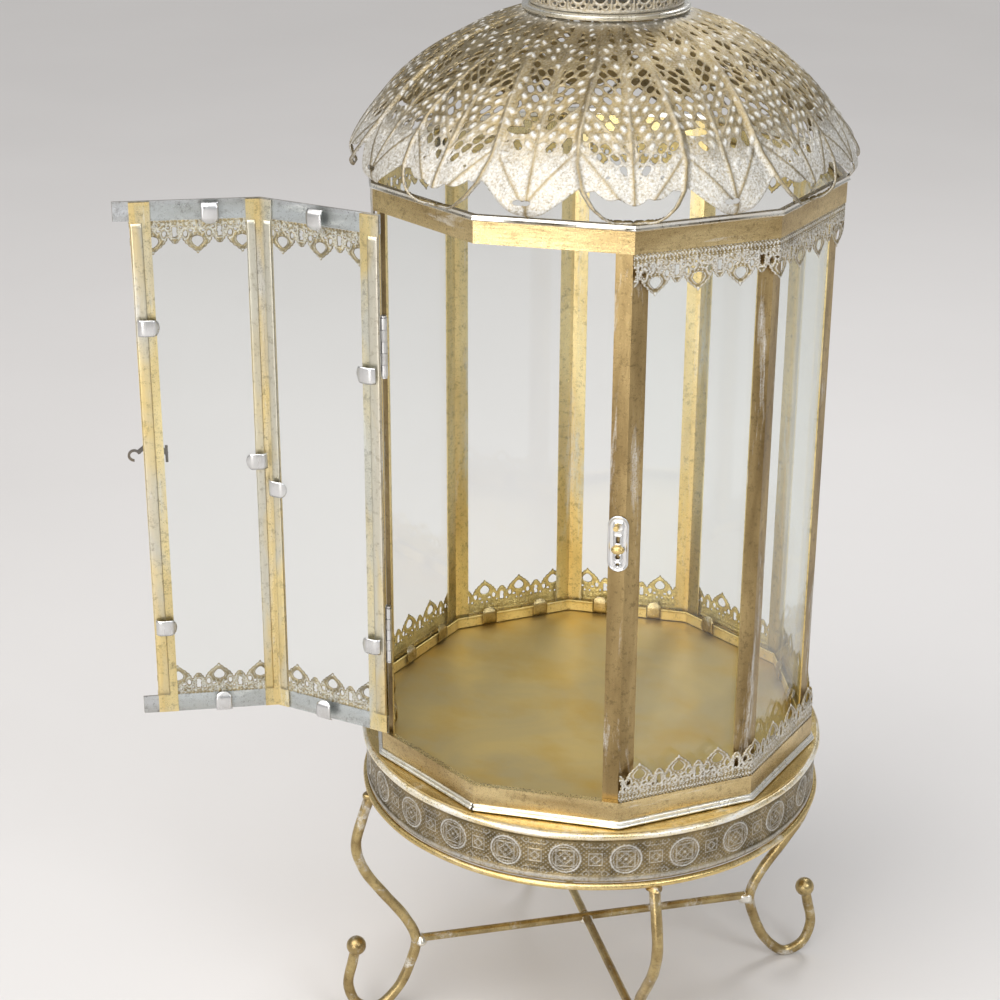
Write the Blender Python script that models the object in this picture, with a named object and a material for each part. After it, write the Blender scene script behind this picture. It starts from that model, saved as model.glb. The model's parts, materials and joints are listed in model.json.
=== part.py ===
"""A ten-sided glazed display lantern on four scrolled legs, with a domed roof and a two-panel hinged door.

Metres, +Z up. The origin is the centre of the display floor's top face, on the cabinet's vertical axis.
The doorway faces -Y. Around the axis, a bearing of 0 points to -Y and grows towards +X.
"""

import math

import bmesh
import bpy
from mathutils import Vector

# Decagonal cabinet
SIDES = 10
STEP_DEG = 360 / SIDES
CORNER_COS = math.cos(math.pi / SIDES)
GAP = 0.0003
SHEET = 0.0012
POST_CORNER_R = 0.1598
POST_FLANGE = 0.0110
POST_FACE = POST_CORNER_R * CORNER_COS
SIDE_HALF = POST_CORNER_R * math.sin(math.pi / SIDES)
HINGE_FLANGE = 0.0050
BAND_CORNER_R = 0.1648
BAND_FACE = BAND_CORNER_R * CORNER_COS
TOP_BAND_Z = (0.3925, 0.4068)
PLINTH_BAND_Z = (-0.0115, 0.0075)
BEAD_R = 0.0015
GLASS_THICK = 0.0020
GLASS_FACE = POST_FACE - SHEET - GAP
GLASS_HALF_WIDTH = 0.0455
LACE_THICK = 0.0006
LACE_HEIGHT = 0.0300
DOOR_LACE_HEIGHT = 0.0240
LACE_FACE = BAND_FACE - 0.0004
LACE_HINGE_SHORT = 0.0080
HINGE_BEARING = -36
LATCH_BEARING = 36

# Drum base
TOP_PLATE_Z = (-0.0136, -0.0122)
RIM_R = 0.1684
RIM_WIRE_R = 0.0026
TOP_RIM_Z = -0.0165
BOTTOM_RIM_Z = -0.0560
FRIEZE_R = 0.1680
ROUND_SEGMENTS = 60

# Legs and stretchers: the legs stand on bearings 45, 135, 225 and 315
LEG_BEARINGS = {"front_left": -45, "front_right": 45, "back_right": 135, "back_left": -135}
LEG_WIRE_R = 0.0040
LEG_BALL_R = 0.0075
LEG_ROUTE = [  # (distance from the axis, height) down the leg
    (0.1680, -0.0592), (0.1745, -0.0780), (0.1800, -0.1020), (0.1740, -0.1240), (0.1600, -0.1460),
    (0.1440, -0.1690), (0.1352, -0.1905), (0.1400, -0.2120), (0.1500, -0.2330), (0.1660, -0.2475),
    (0.1820, -0.2420), (0.1885, -0.2240), (0.1850, -0.2050), (0.1830, -0.1960),
]
STRETCHER_Z = -0.1905
STRETCHER_WIRE_R = 0.0032
STRETCHER_REACH = 0.1352 - LEG_WIRE_R - GAP
ROLLED_EDGE = [  # the top band's bead, (out from the band's face, height above the band)
    (-0.0030, 0), (0.0010, 0), (0.0020, 0.0010), (0.0010, 0.0020), (0.0010, 0.0036), (-0.0030, 0.0036),
]

# Roof
DOME_PROFILE = [  # outer side, (radius, height) from the neck down to the rim
    (0.0500, 0.5130), (0.0640, 0.5095), (0.0900, 0.4995), (0.1150, 0.4850), (0.1360, 0.4680),
    (0.1520, 0.4500), (0.1640, 0.4340), (0.1705, 0.4215), (0.1700, 0.4160), (0.1660, 0.4122),
]
DOME_THICK = 0.0012
COLLAR_PROFILE = [  # (radius, height above the dome's top edge)
    (0.0400, 0.0003), (0.0500, 0.0003), (0.0553, 0.0012), (0.0560, 0.0024), (0.0553, 0.0036),
    (0.0535, 0.0045), (0.0400, 0.0045),
]
NECK_R = 0.0515
NECK_Z = (0.5180, 0.5400)
CAP_PROFILE = [  # (radius, height above the gallery)
    (0.0545, 0), (0.0540, 0.0030), (0.0455, 0.0110), (0.0290, 0.0190), (0.0080, 0.0237),
]
FINIAL_PROFILE = [  # (radius, height above the cap)
    (0.0060, 0), (0.0060, 0.0015), (0.0040, 0.0035), (0.0050, 0.0060), (0.0105, 0.0110),
    (0.0120, 0.0155), (0.0105, 0.0200), (0.0050, 0.0245), (0.0022, 0.0275), (0.0016, 0.0317),
]

# Door, whose outer layer is its two rails and whose inner layer is its stiles
DOOR_OPEN_DEG = 158
RAIL_HEIGHT = 0.0135
DOOR_Z = (0.0092, 0.3912)
STILE_WIDTH = 0.0140
MIDDLE_FLANGE = 0.0095
HINGE_CLEAR = 0.0064  # from the hinge post's corner to the door's edge
STILE_GAP = 0.0010
RAIL_OVERHANG = 0.0105
DOOR_GLASS_EDGE = 0.0040

# Hinges
HINGE_ALONG = 0.0057  # from the hinge post's corner to the pin
HINGE_OUT = 0.0030  # from the posts' outer face to the pin
HINGE_HEIGHTS = {"lower": 0.0870, "upper": 0.3000}
HINGE_LENGTH = 0.0410
KNUCKLES = 5
BARREL_R = 0.0024
PIN_R = 0.0011
PIN_HEAD_R = 0.0020
LEAF_WIDTHS = {"post": 0.0024, "door": 0.0095}
LEAF_CLEAR = 0.0006
LEAF_THICK = 0.0008

# Latch
PLATE_HALF = (0.0070, 0.0197)
PLATE_THICK = 0.0008
PLATE_Z = 0.1975
PEG_R = 0.0018
PEG_OUT = 0.0052
PEG_PLACE = (0.0055, 0.2095)  # (from the post's corner, height)
KNOB_Z = 0.1935
KNOB_HALF = (0.0042, 0.0028)
KNOB_THICK = 0.0026
HOOK_PIVOT_Z = 0.2203
HOOK_THICK = 0.0010
HOOK_OFFSET = 0.0030
HOOK_WIDTH = 0.0030
HOOK_EYE_R = 0.0040
HOOK_BORE_R = 0.0018
RIVET_HEAD_R = 0.0032
HOOK_MOUTH_R = PEG_R + 0.0010
THUMB_TAB = (-0.0098, -0.0078, -0.0168, -0.0043)  # along and height limits, from the pivot
HAIR = 0.00002  # by which joined solids miss lying in one plane

MATERIALS = {  # name: (colour, roughness, metallic, transmission)
    "antique_gold": ((0.52, 0.40, 0.18), 0.38, 1.0, 0.0),
    "washed_gold": ((0.66, 0.60, 0.45), 0.50, 0.9, 0.0),
    "floor_gold": ((0.45, 0.39, 0.22), 0.42, 1.0, 0.0),
    "pale_metal": ((0.62, 0.63, 0.62), 0.38, 1.0, 0.0),
    "steel": ((0.70, 0.71, 0.72), 0.25, 1.0, 0.0),
    "glass": ((0.93, 0.96, 0.95), 0.03, 0.0, 1.0),
}


# Geometry helpers ---------------------------------------------------------------------------------


def clear_scene():
    for obj in list(bpy.data.objects):
        bpy.data.objects.remove(obj, do_unlink=True)


def material(name):
    if name in bpy.data.materials:
        return bpy.data.materials[name]
    colour, roughness, metallic, transmission = MATERIALS[name]
    made = bpy.data.materials.new(name)
    made.use_nodes = True
    shader = made.node_tree.nodes["Principled BSDF"]
    shader.inputs["Base Color"].default_value = (*colour, 1.0)
    shader.inputs["Roughness"].default_value = roughness
    shader.inputs["Metallic"].default_value = metallic
    shader.inputs["Transmission Weight"].default_value = transmission
    return made


def polar(bearing_deg, radius, z=0.0):
    """The point at this bearing and distance from the axis."""
    angle = math.radians(bearing_deg)
    return Vector((radius * math.sin(angle), -radius * math.cos(angle), z))


def on_side(normal_deg, along, out, z=0.0):
    """A point on one of the cabinet's sides: along it towards growing bearings, and out from the axis."""
    angle = math.radians(normal_deg)
    return polar(normal_deg, out, z) + Vector((math.cos(angle), math.sin(angle), 0)) * along


def add_object(name, mesh, material_name, parent=None, smooth=False):
    obj = bpy.data.objects.new(name, mesh)
    bpy.context.collection.objects.link(obj)
    mesh.materials.append(material(material_name))
    if smooth:
        mesh.shade_smooth()
        mesh.set_sharp_from_angle(angle=math.radians(35))
    if parent is not None:
        obj.parent = parent
    return obj


def mesh_of(bm, name):
    bmesh.ops.recalc_face_normals(bm, faces=bm.faces)
    mesh = bpy.data.meshes.new(name)
    bm.to_mesh(mesh)
    bm.free()
    return mesh


def prism(name, outline, z_low, z_high, material_name, parent=None, smooth=False):
    """A flat outline of (x, y) points, extruded from z_low to z_high."""
    bm = bmesh.new()
    face = bm.faces.new([bm.verts.new((p[0], p[1], z_low)) for p in outline])
    grown = bmesh.ops.extrude_face_region(bm, geom=[face])
    tops = [v for v in grown["geom"] if isinstance(v, bmesh.types.BMVert)]
    bmesh.ops.translate(bm, verts=tops, vec=(0, 0, z_high - z_low))
    return add_object(name, mesh_of(bm, name), material_name, parent, smooth)


def ring(name, profile, steps, material_name, start_deg=0.0, smooth=False):
    """A closed (radius, z) profile spun all the way round the axis."""
    bm = bmesh.new()
    verts = [bm.verts.new(polar(start_deg, r, z)) for r, z in profile]
    edges = [bm.edges.new((a, b)) for a, b in zip(verts, verts[1:] + verts[:1])]
    bmesh.ops.spin(bm, geom=verts + edges, axis=(0, 0, 1), angle=math.tau, steps=steps)
    bmesh.ops.remove_doubles(bm, verts=bm.verts, dist=1e-6)
    return add_object(name, mesh_of(bm, name), material_name, smooth=smooth)


def sweep_sides(name, profile, bearings, material_name, parent=None, origin=Vector()):
    """A closed (out from the axis, z) profile swept along the sides between the corners at these bearings.

    The joints at the corners are mitred. A bearing given with an offset stops short of its corner.
    """
    bm = bmesh.new()
    loops = []
    for bearing in bearings:
        corner, short = bearing if isinstance(bearing, tuple) else (bearing, 0.0)
        normal = corner + math.copysign(STEP_DEG / 2, short) if short else corner
        points = []
        for out, z in profile:
            if short:
                half = out * math.tan(math.pi / SIDES)
                points.append(on_side(normal, math.copysign(1, -short) * (half - abs(short)), out, z))
            else:
                points.append(polar(corner, out / CORNER_COS, z))
        loops.append([bm.verts.new(p - origin) for p in points])
    count = len(profile)
    for first, second in zip(loops, loops[1:]):
        for i in range(count):
            j = (i + 1) % count
            bm.faces.new((first[i], first[j], second[j], second[i]))
    bm.faces.new(loops[0][::-1])
    bm.faces.new(loops[-1])
    return add_object(name, mesh_of(bm, name), material_name, parent)


def box_profile(out, thick, z_low, z_high):
    return [(out - thick, z_low), (out, z_low), (out, z_high), (out - thick, z_high)]


def wire_profile(centre_r, z, wire_r, sides):
    angles = [math.tau * (i + 0.5) / sides for i in range(sides)]
    return [(centre_r + wire_r * math.cos(a), z + wire_r * math.sin(a)) for a in angles]


def smooth_route(points, per_span):
    """Points on the Catmull-Rom curve through the route."""
    padded = [points[0] * 2 - points[1]] + points + [points[-1] * 2 - points[-2]]
    made = []
    for i in range(1, len(padded) - 2):
        p0, p1, p2, p3 = padded[i - 1 : i + 3]
        for k in range(per_span):
            t = k / per_span
            made.append(
                0.5 * (2 * p1 + (p2 - p0) * t + (2 * p0 - 5 * p1 + 4 * p2 - p3) * t**2
                       + (3 * p1 - p0 - 3 * p2 + p3) * t**3)
            )
    return made + [points[-1]]


def tube(name, route, radii, sides, material_name, side_axis):
    """A round bar along a flat route, whose plane is square to side_axis."""
    bm = bmesh.new()
    loops = []
    for i, point in enumerate(route):
        ahead = route[min(i + 1, len(route) - 1)] - route[max(i - 1, 0)]
        across = ahead.cross(side_axis).normalized()
        angles = [math.tau * k / sides for k in range(sides)]
        loops.append([
            bm.verts.new(point + (across * math.cos(a) + side_axis * math.sin(a)) * radii[i])
            for a in angles
        ])
    for first, second in zip(loops, loops[1:]):
        for k in range(sides):
            j = (k + 1) % sides
            bm.faces.new((first[k], first[j], second[j], second[k]))
    bm.faces.new(loops[0][::-1])
    bm.faces.new(loops[-1])
    return add_object(name, mesh_of(bm, name), material_name, smooth=True)


def plate_on_side(name, outline, normal_deg, out, thick, material_name, parent=None, origin=Vector()):
    """A flat outline of (along, z) points on a side, with its inner face this far out from the axis."""
    bm = bmesh.new()
    face = bm.faces.new([bm.verts.new(on_side(normal_deg, a, out, z) - origin) for a, z in outline])
    grown = bmesh.ops.extrude_face_region(bm, geom=[face])
    fronts = [v for v in grown["geom"] if isinstance(v, bmesh.types.BMVert)]
    bmesh.ops.translate(bm, verts=fronts, vec=polar(normal_deg, thick))
    return add_object(name, mesh_of(bm, name), material_name, parent)


def rectangle(along_low, along_high, z_low, z_high):
    return [(along_low, z_low), (along_high, z_low), (along_high, z_high), (along_low, z_high)]


def circle(centre, radius, sides):
    angles = [math.tau * i / sides for i in range(sides)]
    return [(centre[0] + radius * math.cos(a), centre[1] + radius * math.sin(a)) for a in angles]


# Base ---------------------------------------------------------------------------------------------


def add_legs():
    for place, bearing in LEG_BEARINGS.items():
        route = smooth_route([polar(bearing, r, z) for r, z in LEG_ROUTE], 3)
        radii = [LEG_WIRE_R] * len(route)
        end = route[-1]
        upwards = (route[-1] - route[-3]).normalized()
        for k in range(1, 7):  # the ball on the tip of the scroll
            angle = math.pi * k / 7
            route.append(end + upwards * LEG_BALL_R * (0.85 - math.cos(angle)))
            radii.append(LEG_BALL_R * math.sin(angle))
        side_axis = polar(bearing + 90, 1.0)
        tube(f"leg_{place}", route, radii, 8, "antique_gold", side_axis)


def add_stretchers():
    """One bar runs from front left to back right, and two half bars butt against its middle."""
    up = Vector((0, 0, 1))
    clear = STRETCHER_WIRE_R + GAP
    runs = {
        "stretcher_long_bar": (polar(-45, STRETCHER_REACH), polar(135, STRETCHER_REACH)),
        "stretcher_front_bar": (polar(45, clear), polar(45, STRETCHER_REACH)),
        "stretcher_back_bar": (polar(-135, clear), polar(-135, STRETCHER_REACH)),
    }
    for name, (start, end) in runs.items():
        route = [start + up * STRETCHER_Z, end + up * STRETCHER_Z]
        tube(name, route, [STRETCHER_WIRE_R] * 2, 10, "antique_gold", up)


def add_drum():
    ring("drum_bottom_rim", wire_profile(RIM_R, BOTTOM_RIM_Z, RIM_WIRE_R, 8), ROUND_SEGMENTS,
         "antique_gold", smooth=True)
    ring("drum_top_rim", wire_profile(RIM_R, TOP_RIM_Z, RIM_WIRE_R, 8), ROUND_SEGMENTS,
         "antique_gold", smooth=True)
    low = BOTTOM_RIM_Z + RIM_WIRE_R + GAP
    high = TOP_RIM_Z - RIM_WIRE_R - GAP
    ring("drum_frieze_band", box_profile(FRIEZE_R, SHEET, low, high), ROUND_SEGMENTS, "washed_gold",
         smooth=True)
    outline = [polar(360 * i / ROUND_SEGMENTS, RIM_R) for i in range(ROUND_SEGMENTS)]
    prism("drum_top_plate", outline, *TOP_PLATE_Z, "antique_gold")


def channel_profile(z_low, z_high):
    """A band folded from sheet: an outer wall with a flange turned in at each edge, up to the posts."""
    inner, wall = POST_FACE + GAP, BAND_FACE - SHEET
    return [(inner, z_low), (BAND_FACE, z_low), (BAND_FACE, z_high), (inner, z_high),
            (inner, z_high - SHEET), (wall, z_high - SHEET), (wall, z_low + SHEET), (inner, z_low + SHEET)]


def add_plinth():
    """The low wall round the display floor, with a wire bead along its foot."""
    decagon("plinth_band", channel_profile(*PLINTH_BAND_Z), "antique_gold")
    bead_z = TOP_PLATE_Z[1] + GAP + BEAD_R
    decagon("plinth_foot_bead", wire_profile(BAND_FACE + GAP + BEAD_R, bead_z, BEAD_R, 6), "pale_metal")
    floor_r = (GLASS_FACE - GLASS_THICK - GAP) / CORNER_COS
    prism("display_floor", [polar(STEP_DEG * i, floor_r) for i in range(SIDES)], -SHEET, 0, "floor_gold")


def decagon(name, profile, material_name):
    """A closed (out from the axis, z) profile all the way round the cabinet's sides."""
    ring(name, [(out / CORNER_COS, z) for out, z in profile], SIDES, material_name)


# Cabinet ------------------------------------------------------------------------------------------


def v_section(corner_deg, flange_low, flange_high):
    """The plan of a corner bar bent from sheet, with a flange along the side below and the side above."""
    inner_r = POST_CORNER_R - SHEET / CORNER_COS
    low, high = corner_deg - STEP_DEG / 2, corner_deg + STEP_DEG / 2
    return [
        on_side(low, SIDE_HALF - flange_low, POST_FACE), polar(corner_deg, POST_CORNER_R),
        on_side(high, flange_high - SIDE_HALF, POST_FACE),
        on_side(high, flange_high - SIDE_HALF, POST_FACE - SHEET),
        polar(corner_deg, inner_r), on_side(low, SIDE_HALF - flange_low, POST_FACE - SHEET),
    ]


def add_posts():
    low, high = GAP - SHEET, TOP_BAND_Z[1]
    for i in range(1, 9):
        bearing = i * STEP_DEG
        name = "latch_post" if bearing == LATCH_BEARING else f"corner_post_{i - 1}"
        outline = v_section(bearing, POST_FLANGE, POST_FLANGE)
        prism(name, outline, low, high, "antique_gold")
    outline = v_section(HINGE_BEARING, POST_FLANGE, HINGE_FLANGE)
    prism("hinge_post", outline, low, high, "antique_gold")


def add_panes():
    for i in range(1, 9):
        normal = LATCH_BEARING + STEP_DEG * (i - 0.5)
        outline = rectangle(-GLASS_HALF_WIDTH, GLASS_HALF_WIDTH, GAP - SHEET, TOP_BAND_Z[1] - SHEET)
        plate_on_side(f"glass_pane_{i}", outline, normal, GLASS_FACE - GLASS_THICK, GLASS_THICK, "glass")


def add_top_band():
    decagon("top_band", channel_profile(*TOP_BAND_Z), "antique_gold")
    low = TOP_BAND_Z[1] + GAP
    decagon("top_band_bead", [(BAND_FACE + out, low + z) for out, z in ROLLED_EDGE], "pale_metal")


def add_lace():
    """Strips outside the posts: one hangs under the top band and one stands on the plinth band."""
    corners = [LATCH_BEARING + STEP_DEG * i for i in range(8)]
    corners.append((HINGE_BEARING, -LACE_HINGE_SHORT))
    high = TOP_BAND_Z[0] - GAP
    low = PLINTH_BAND_Z[1] + GAP
    for name, z in (("lace_top", high - LACE_HEIGHT), ("lace_bottom", low)):
        sweep_sides(name, box_profile(LACE_FACE, LACE_THICK, z, z + LACE_HEIGHT), corners, "washed_gold")


# Roof ---------------------------------------------------------------------------------------------


def add_roof():
    inner = []
    for i, (r, z) in enumerate(DOME_PROFILE):
        before, after = DOME_PROFILE[max(i - 1, 0)], DOME_PROFILE[min(i + 1, len(DOME_PROFILE) - 1)]
        along = Vector((after[0] - before[0], after[1] - before[1])).normalized()
        inner.append((r + along.y * DOME_THICK, z - along.x * DOME_THICK))
    ring("dome", DOME_PROFILE + inner[::-1], 64, "washed_gold", smooth=True)
    neck_top = DOME_PROFILE[0][1]
    ring("dome_collar", [(r, neck_top + rise) for r, rise in COLLAR_PROFILE], 48, "pale_metal", smooth=True)
    ring("neck_gallery", box_profile(NECK_R, SHEET, *NECK_Z), 48, "washed_gold", smooth=True)
    base = NECK_Z[1] + GAP
    turned_solid("neck_cap", [(r, base + rise) for r, rise in CAP_PROFILE], 40, "antique_gold")
    foot = base + CAP_PROFILE[-1][1] + GAP
    turned_solid("finial", [(r, foot + rise) for r, rise in FINIAL_PROFILE], 20, "antique_gold")


def turned_solid(name, side, steps, material_name):
    """A solid of revolution from its outer side, bottom to top, with flat ends."""
    bm = bmesh.new()
    loops = [[bm.verts.new(polar(360 * k / steps, r, z)) for k in range(steps)] for r, z in side]
    for first, second in zip(loops, loops[1:]):
        for k in range(steps):
            j = (k + 1) % steps
            bm.faces.new((first[k], first[j], second[j], second[k]))
    bm.faces.new(loops[0][::-1])
    bm.faces.new(loops[-1])
    return add_object(name, mesh_of(bm, name), material_name, smooth=True)


# Door ---------------------------------------------------------------------------------------------

HINGE_SIDE = HINGE_BEARING + STEP_DEG / 2
HINGE_AXIS = on_side(HINGE_SIDE, HINGE_ALONG - SIDE_HALF, POST_FACE + HINGE_OUT)


def empty(name, location, turn_deg=0.0, parent=None):
    made = bpy.data.objects.new(name, None)
    bpy.context.collection.objects.link(made)
    made.location = location
    made.rotation_euler.z = math.radians(turn_deg)
    made.parent = parent
    return made


def add_door():
    """Door pieces are placed as when it is closed, about the hinge axis, which then opens them."""
    axis = empty("door_hinge_axis", HINGE_AXIS, -DOOR_OPEN_DEG)
    low, high = DOOR_Z
    first, second = -STEP_DEG / 2, STEP_DEG / 2  # the sides beside the hinge and beside the latch
    stile_low, stile_high = low + 2 * GAP, high - 2 * GAP
    hinge_edge = HINGE_CLEAR - SIDE_HALF
    latch_edge = SIDE_HALF - POST_FLANGE - STILE_GAP
    add_stile("door_hinge_stile", first, hinge_edge, hinge_edge + STILE_WIDTH, stile_low, stile_high, axis)
    add_stile("door_latch_stile", second, latch_edge - STILE_WIDTH, latch_edge, stile_low, stile_high, axis)
    middle = [p - HINGE_AXIS for p in v_section(0, MIDDLE_FLANGE, MIDDLE_FLANGE)]
    prism("door_middle_stile", middle, stile_low, stile_high, "antique_gold", axis)
    add_door_strips(axis, SIDE_HALF - latch_edge)
    spans = {
        "door_pane_1": (first, hinge_edge + DOOR_GLASS_EDGE, GLASS_HALF_WIDTH),
        "door_pane_2": (second, -GLASS_HALF_WIDTH, latch_edge - DOOR_GLASS_EDGE),
    }
    for name, (normal, along_low, along_high) in spans.items():
        outline = rectangle(along_low, along_high, low + 2 * SHEET, high - 2 * SHEET)
        plate_on_side(name, outline, normal, GLASS_FACE - GLASS_THICK, GLASS_THICK, "glass", axis, HINGE_AXIS)
    return axis


def add_stile(name, normal, along_low, along_high, z_low, z_high, axis):
    outline = rectangle(along_low, along_high, z_low, z_high)
    plate_on_side(name, outline, normal, POST_FACE - SHEET, SHEET, "antique_gold", axis, HINGE_AXIS)


def add_door_strips(axis, latch_short):
    """The two rails, and the lace strips beside them, all bent round the door's middle corner."""
    low, high = DOOR_Z
    out = POST_FACE + GAP + SHEET
    hinge_end = (HINGE_BEARING, HINGE_CLEAR)
    rail_end = (LATCH_BEARING, -(latch_short - RAIL_OVERHANG))
    lace_end = (LATCH_BEARING, -latch_short)
    for name, z in (("door_bottom_rail", low), ("door_top_rail", high - RAIL_HEIGHT)):
        sweep_sides(name, box_profile(out, SHEET, z, z + RAIL_HEIGHT), [hinge_end, 0, rail_end],
                    "pale_metal", axis, HINGE_AXIS)
    lace_out = POST_FACE + GAP + LACE_THICK
    drop = DOOR_LACE_HEIGHT
    strips = {
        "door_lace_bottom": low + RAIL_HEIGHT + GAP,
        "door_lace_top": high - RAIL_HEIGHT - GAP - drop,
    }
    for name, z in strips.items():
        sweep_sides(name, box_profile(lace_out, LACE_THICK, z, z + drop), [hinge_end, 0, lace_end],
                    "washed_gold", axis, HINGE_AXIS)


# Hinges -------------------------------------------------------------------------------------------


def leaf(name, width, toward, z_mid, knuckles, parent, origin):
    """A hinge leaf beside the pin, towards the door (1) or the post (-1), with its share of the knuckles."""
    pitch = HINGE_LENGTH / KNUCKLES
    low = z_mid - HINGE_LENGTH / 2
    pin_along = HINGE_ALONG - SIDE_HALF
    near = pin_along + toward * (BARREL_R + LEAF_CLEAR)

    def across(start, end, z_low, z_high, lift=0.0):
        face = POST_FACE + GAP + lift
        return box_between(on_side(HINGE_SIDE, start, face), on_side(HINGE_SIDE, end, face),
                           polar(HINGE_SIDE, LEAF_THICK - 2 * lift), z_low, z_high, origin)

    solids = [across(near, near + toward * width, low, low + HINGE_LENGTH)]
    for k in knuckles:
        z0, z1 = low + k * pitch + GAP / 2, low + (k + 1) * pitch - GAP / 2
        solids.append(tube_wall(HINGE_AXIS - origin, BARREL_R, PIN_R + 0.0002, z0, z1))
        solids.append(across(pin_along, near + toward * width / 2, z0 + HAIR, z1 - HAIR, HAIR))
    return join_solids(name, solids, "steel", parent)


def box_between(start, end, thick, z_low, z_high, origin):
    """A bar with the plan of a line from start to end, thickened by a vector."""
    bm = bmesh.new()
    plan = [start, end, end + thick, start + thick]
    low = [bm.verts.new(Vector((p.x, p.y, z_low)) - origin.xy.to_3d()) for p in plan]
    face = bm.faces.new(low)
    grown = bmesh.ops.extrude_face_region(bm, geom=[face])
    tops = [v for v in grown["geom"] if isinstance(v, bmesh.types.BMVert)]
    bmesh.ops.translate(bm, verts=tops, vec=(0, 0, z_high - z_low))
    return bm


def tube_wall(centre, outer_r, inner_r, z_low, z_high, sides=12):
    """A short upright tube."""
    bm = bmesh.new()
    loops = []
    for r, z in ((outer_r, z_low), (outer_r, z_high), (inner_r, z_high), (inner_r, z_low)):
        loops.append([bm.verts.new(Vector((centre.x, centre.y, 0)) + polar(360 * k / sides, r, z))
                      for k in range(sides)])
    for first, second in zip(loops, loops[1:] + loops[:1]):
        for k in range(sides):
            j = (k + 1) % sides
            bm.faces.new((first[k], first[j], second[j], second[k]))
    return bm


def join_solids(name, solids, material_name, parent=None, location=Vector()):
    """One body out of several overlapping solids, by Boolean union."""
    objects = [add_object(f"{name}_{i}", mesh_of(bm, name), material_name, parent)
               for i, bm in enumerate(solids)]
    for obj in objects:
        obj.location = location
    objects[0].name = name
    for tool in objects[1:]:
        tool.hide_render = True
        tool.display_type = "WIRE"
        union = objects[0].modifiers.new("union", "BOOLEAN")
        union.operation = "UNION"
        union.solver = "EXACT"
        union.object = tool
    return objects[0]


def add_hinges(axis):
    for place, z in HINGE_HEIGHTS.items():
        leaf(f"{place}_hinge_post_leaf", LEAF_WIDTHS["post"], -1, z, (0, 2, 4), None, Vector())
        leaf(f"{place}_hinge_door_leaf", LEAF_WIDTHS["door"], 1, z, (1, 3), axis, HINGE_AXIS)
        half = HINGE_LENGTH / 2
        sides = [(PIN_HEAD_R, -half - 0.0015), (PIN_HEAD_R, -half - GAP), (PIN_R, -half - GAP),
                 (PIN_R, half + GAP), (PIN_HEAD_R, half + GAP), (PIN_HEAD_R, half + 0.0015)]
        pin = turned_solid(f"{place}_hinge_pin", sides, 12, "steel")
        pin.location = HINGE_AXIS + Vector((0, 0, z))


# Latch --------------------------------------------------------------------------------------------


def stadium(centre, half_w, half_h, steps=6):
    """An upright outline with round ends."""
    points = []
    for start, sign in ((0, 1), (180, -1)):
        for k in range(steps + 1):
            angle = math.radians(start + 180 * k / steps)
            points.append((centre[0] + half_w * math.cos(angle),
                           centre[1] + sign * (half_h - half_w) + half_w * math.sin(angle)))
    return points


def arc_band(centre, inner_r, outer_r, start_deg, end_deg, steps):
    """An outline between two arcs."""
    angles = [math.radians(start_deg + (end_deg - start_deg) * k / steps) for k in range(steps + 1)]
    outer = [(centre[0] + outer_r * math.cos(a), centre[1] + outer_r * math.sin(a)) for a in angles]
    inner = [(centre[0] + inner_r * math.cos(a), centre[1] + inner_r * math.sin(a)) for a in angles]
    return outer + inner[::-1]


def bar_outline(start, end, width):
    """A straight bar between two points."""
    run = Vector((end[0] - start[0], end[1] - start[1]))
    side = Vector((-run.y, run.x)).normalized() * width / 2
    start, end = Vector(start), Vector(end)
    return [tuple(p) for p in (start + side, start - side, end - side, end + side)]


def latch_plates(side, layers):
    """Flat pieces on the latch side, from (outline, inner face, outer face), placed from the hook's pivot.

    The outlines' points and the faces are measured from the pivot.
    """
    made = []
    for outline, out_low, out_high in layers:
        bm = bmesh.new()
        corners = [on_side(side, a, out_low, z) for a, z in outline]
        face = bm.faces.new([bm.verts.new(p) for p in corners])
        grown = bmesh.ops.extrude_face_region(bm, geom=[face])
        fronts = [v for v in grown["geom"] if isinstance(v, bmesh.types.BMVert)]
        bmesh.ops.translate(bm, verts=fronts, vec=polar(side, out_high - out_low))
        made.append(bm)
    return made


def add_latch(axis):
    """A keeper plate with a peg on the latch post, and a free-hanging hook riveted to the door."""
    side = STEP_DEG / 2
    plate_along = SIDE_HALF - POST_FLANGE / 2 + STILE_GAP
    face = POST_FACE + GAP
    plate_on_side("latch_plate", stadium((plate_along, PLATE_Z), *PLATE_HALF), side, face, PLATE_THICK, "steel")
    peg = (SIDE_HALF - PEG_PLACE[0], PEG_PLACE[1])
    peg_face = face + PLATE_THICK + GAP
    plate_on_side("latch_peg", circle(peg, PEG_R, 16), side, peg_face, POST_FACE + PEG_OUT - peg_face,
                  "antique_gold")
    knob = stadium((0, 0), KNOB_HALF[1], KNOB_HALF[0])
    plate_on_side("latch_knob", [(plate_along + z, KNOB_Z + a) for a, z in knob], side, peg_face, KNOB_THICK,
                  "antique_gold")
    pivot_along = SIDE_HALF - POST_FLANGE - STILE_GAP - STILE_WIDTH / 2
    pivot = on_side(side, pivot_along, POST_FACE, HOOK_PIVOT_Z) - HINGE_AXIS
    hook_axis = empty("hook_axis", pivot, parent=axis)
    add_hook(side, (peg[0] - pivot_along, peg[1] - HOOK_PIVOT_Z), hook_axis)
    cap = HOOK_OFFSET + HOOK_THICK + GAP
    layers = [
        (circle((0, 0), HOOK_BORE_R - GAP, 16), GAP + HAIR, cap + HOOK_THICK),
        (circle((0, 0), RIVET_HEAD_R, 16), cap, cap + HOOK_THICK + HAIR),
        (circle((0, 0), RIVET_HEAD_R, 16), GAP, HOOK_OFFSET - GAP),
    ]
    join_solids("hook_rivet", latch_plates(side, layers), "steel", axis, pivot)


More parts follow.
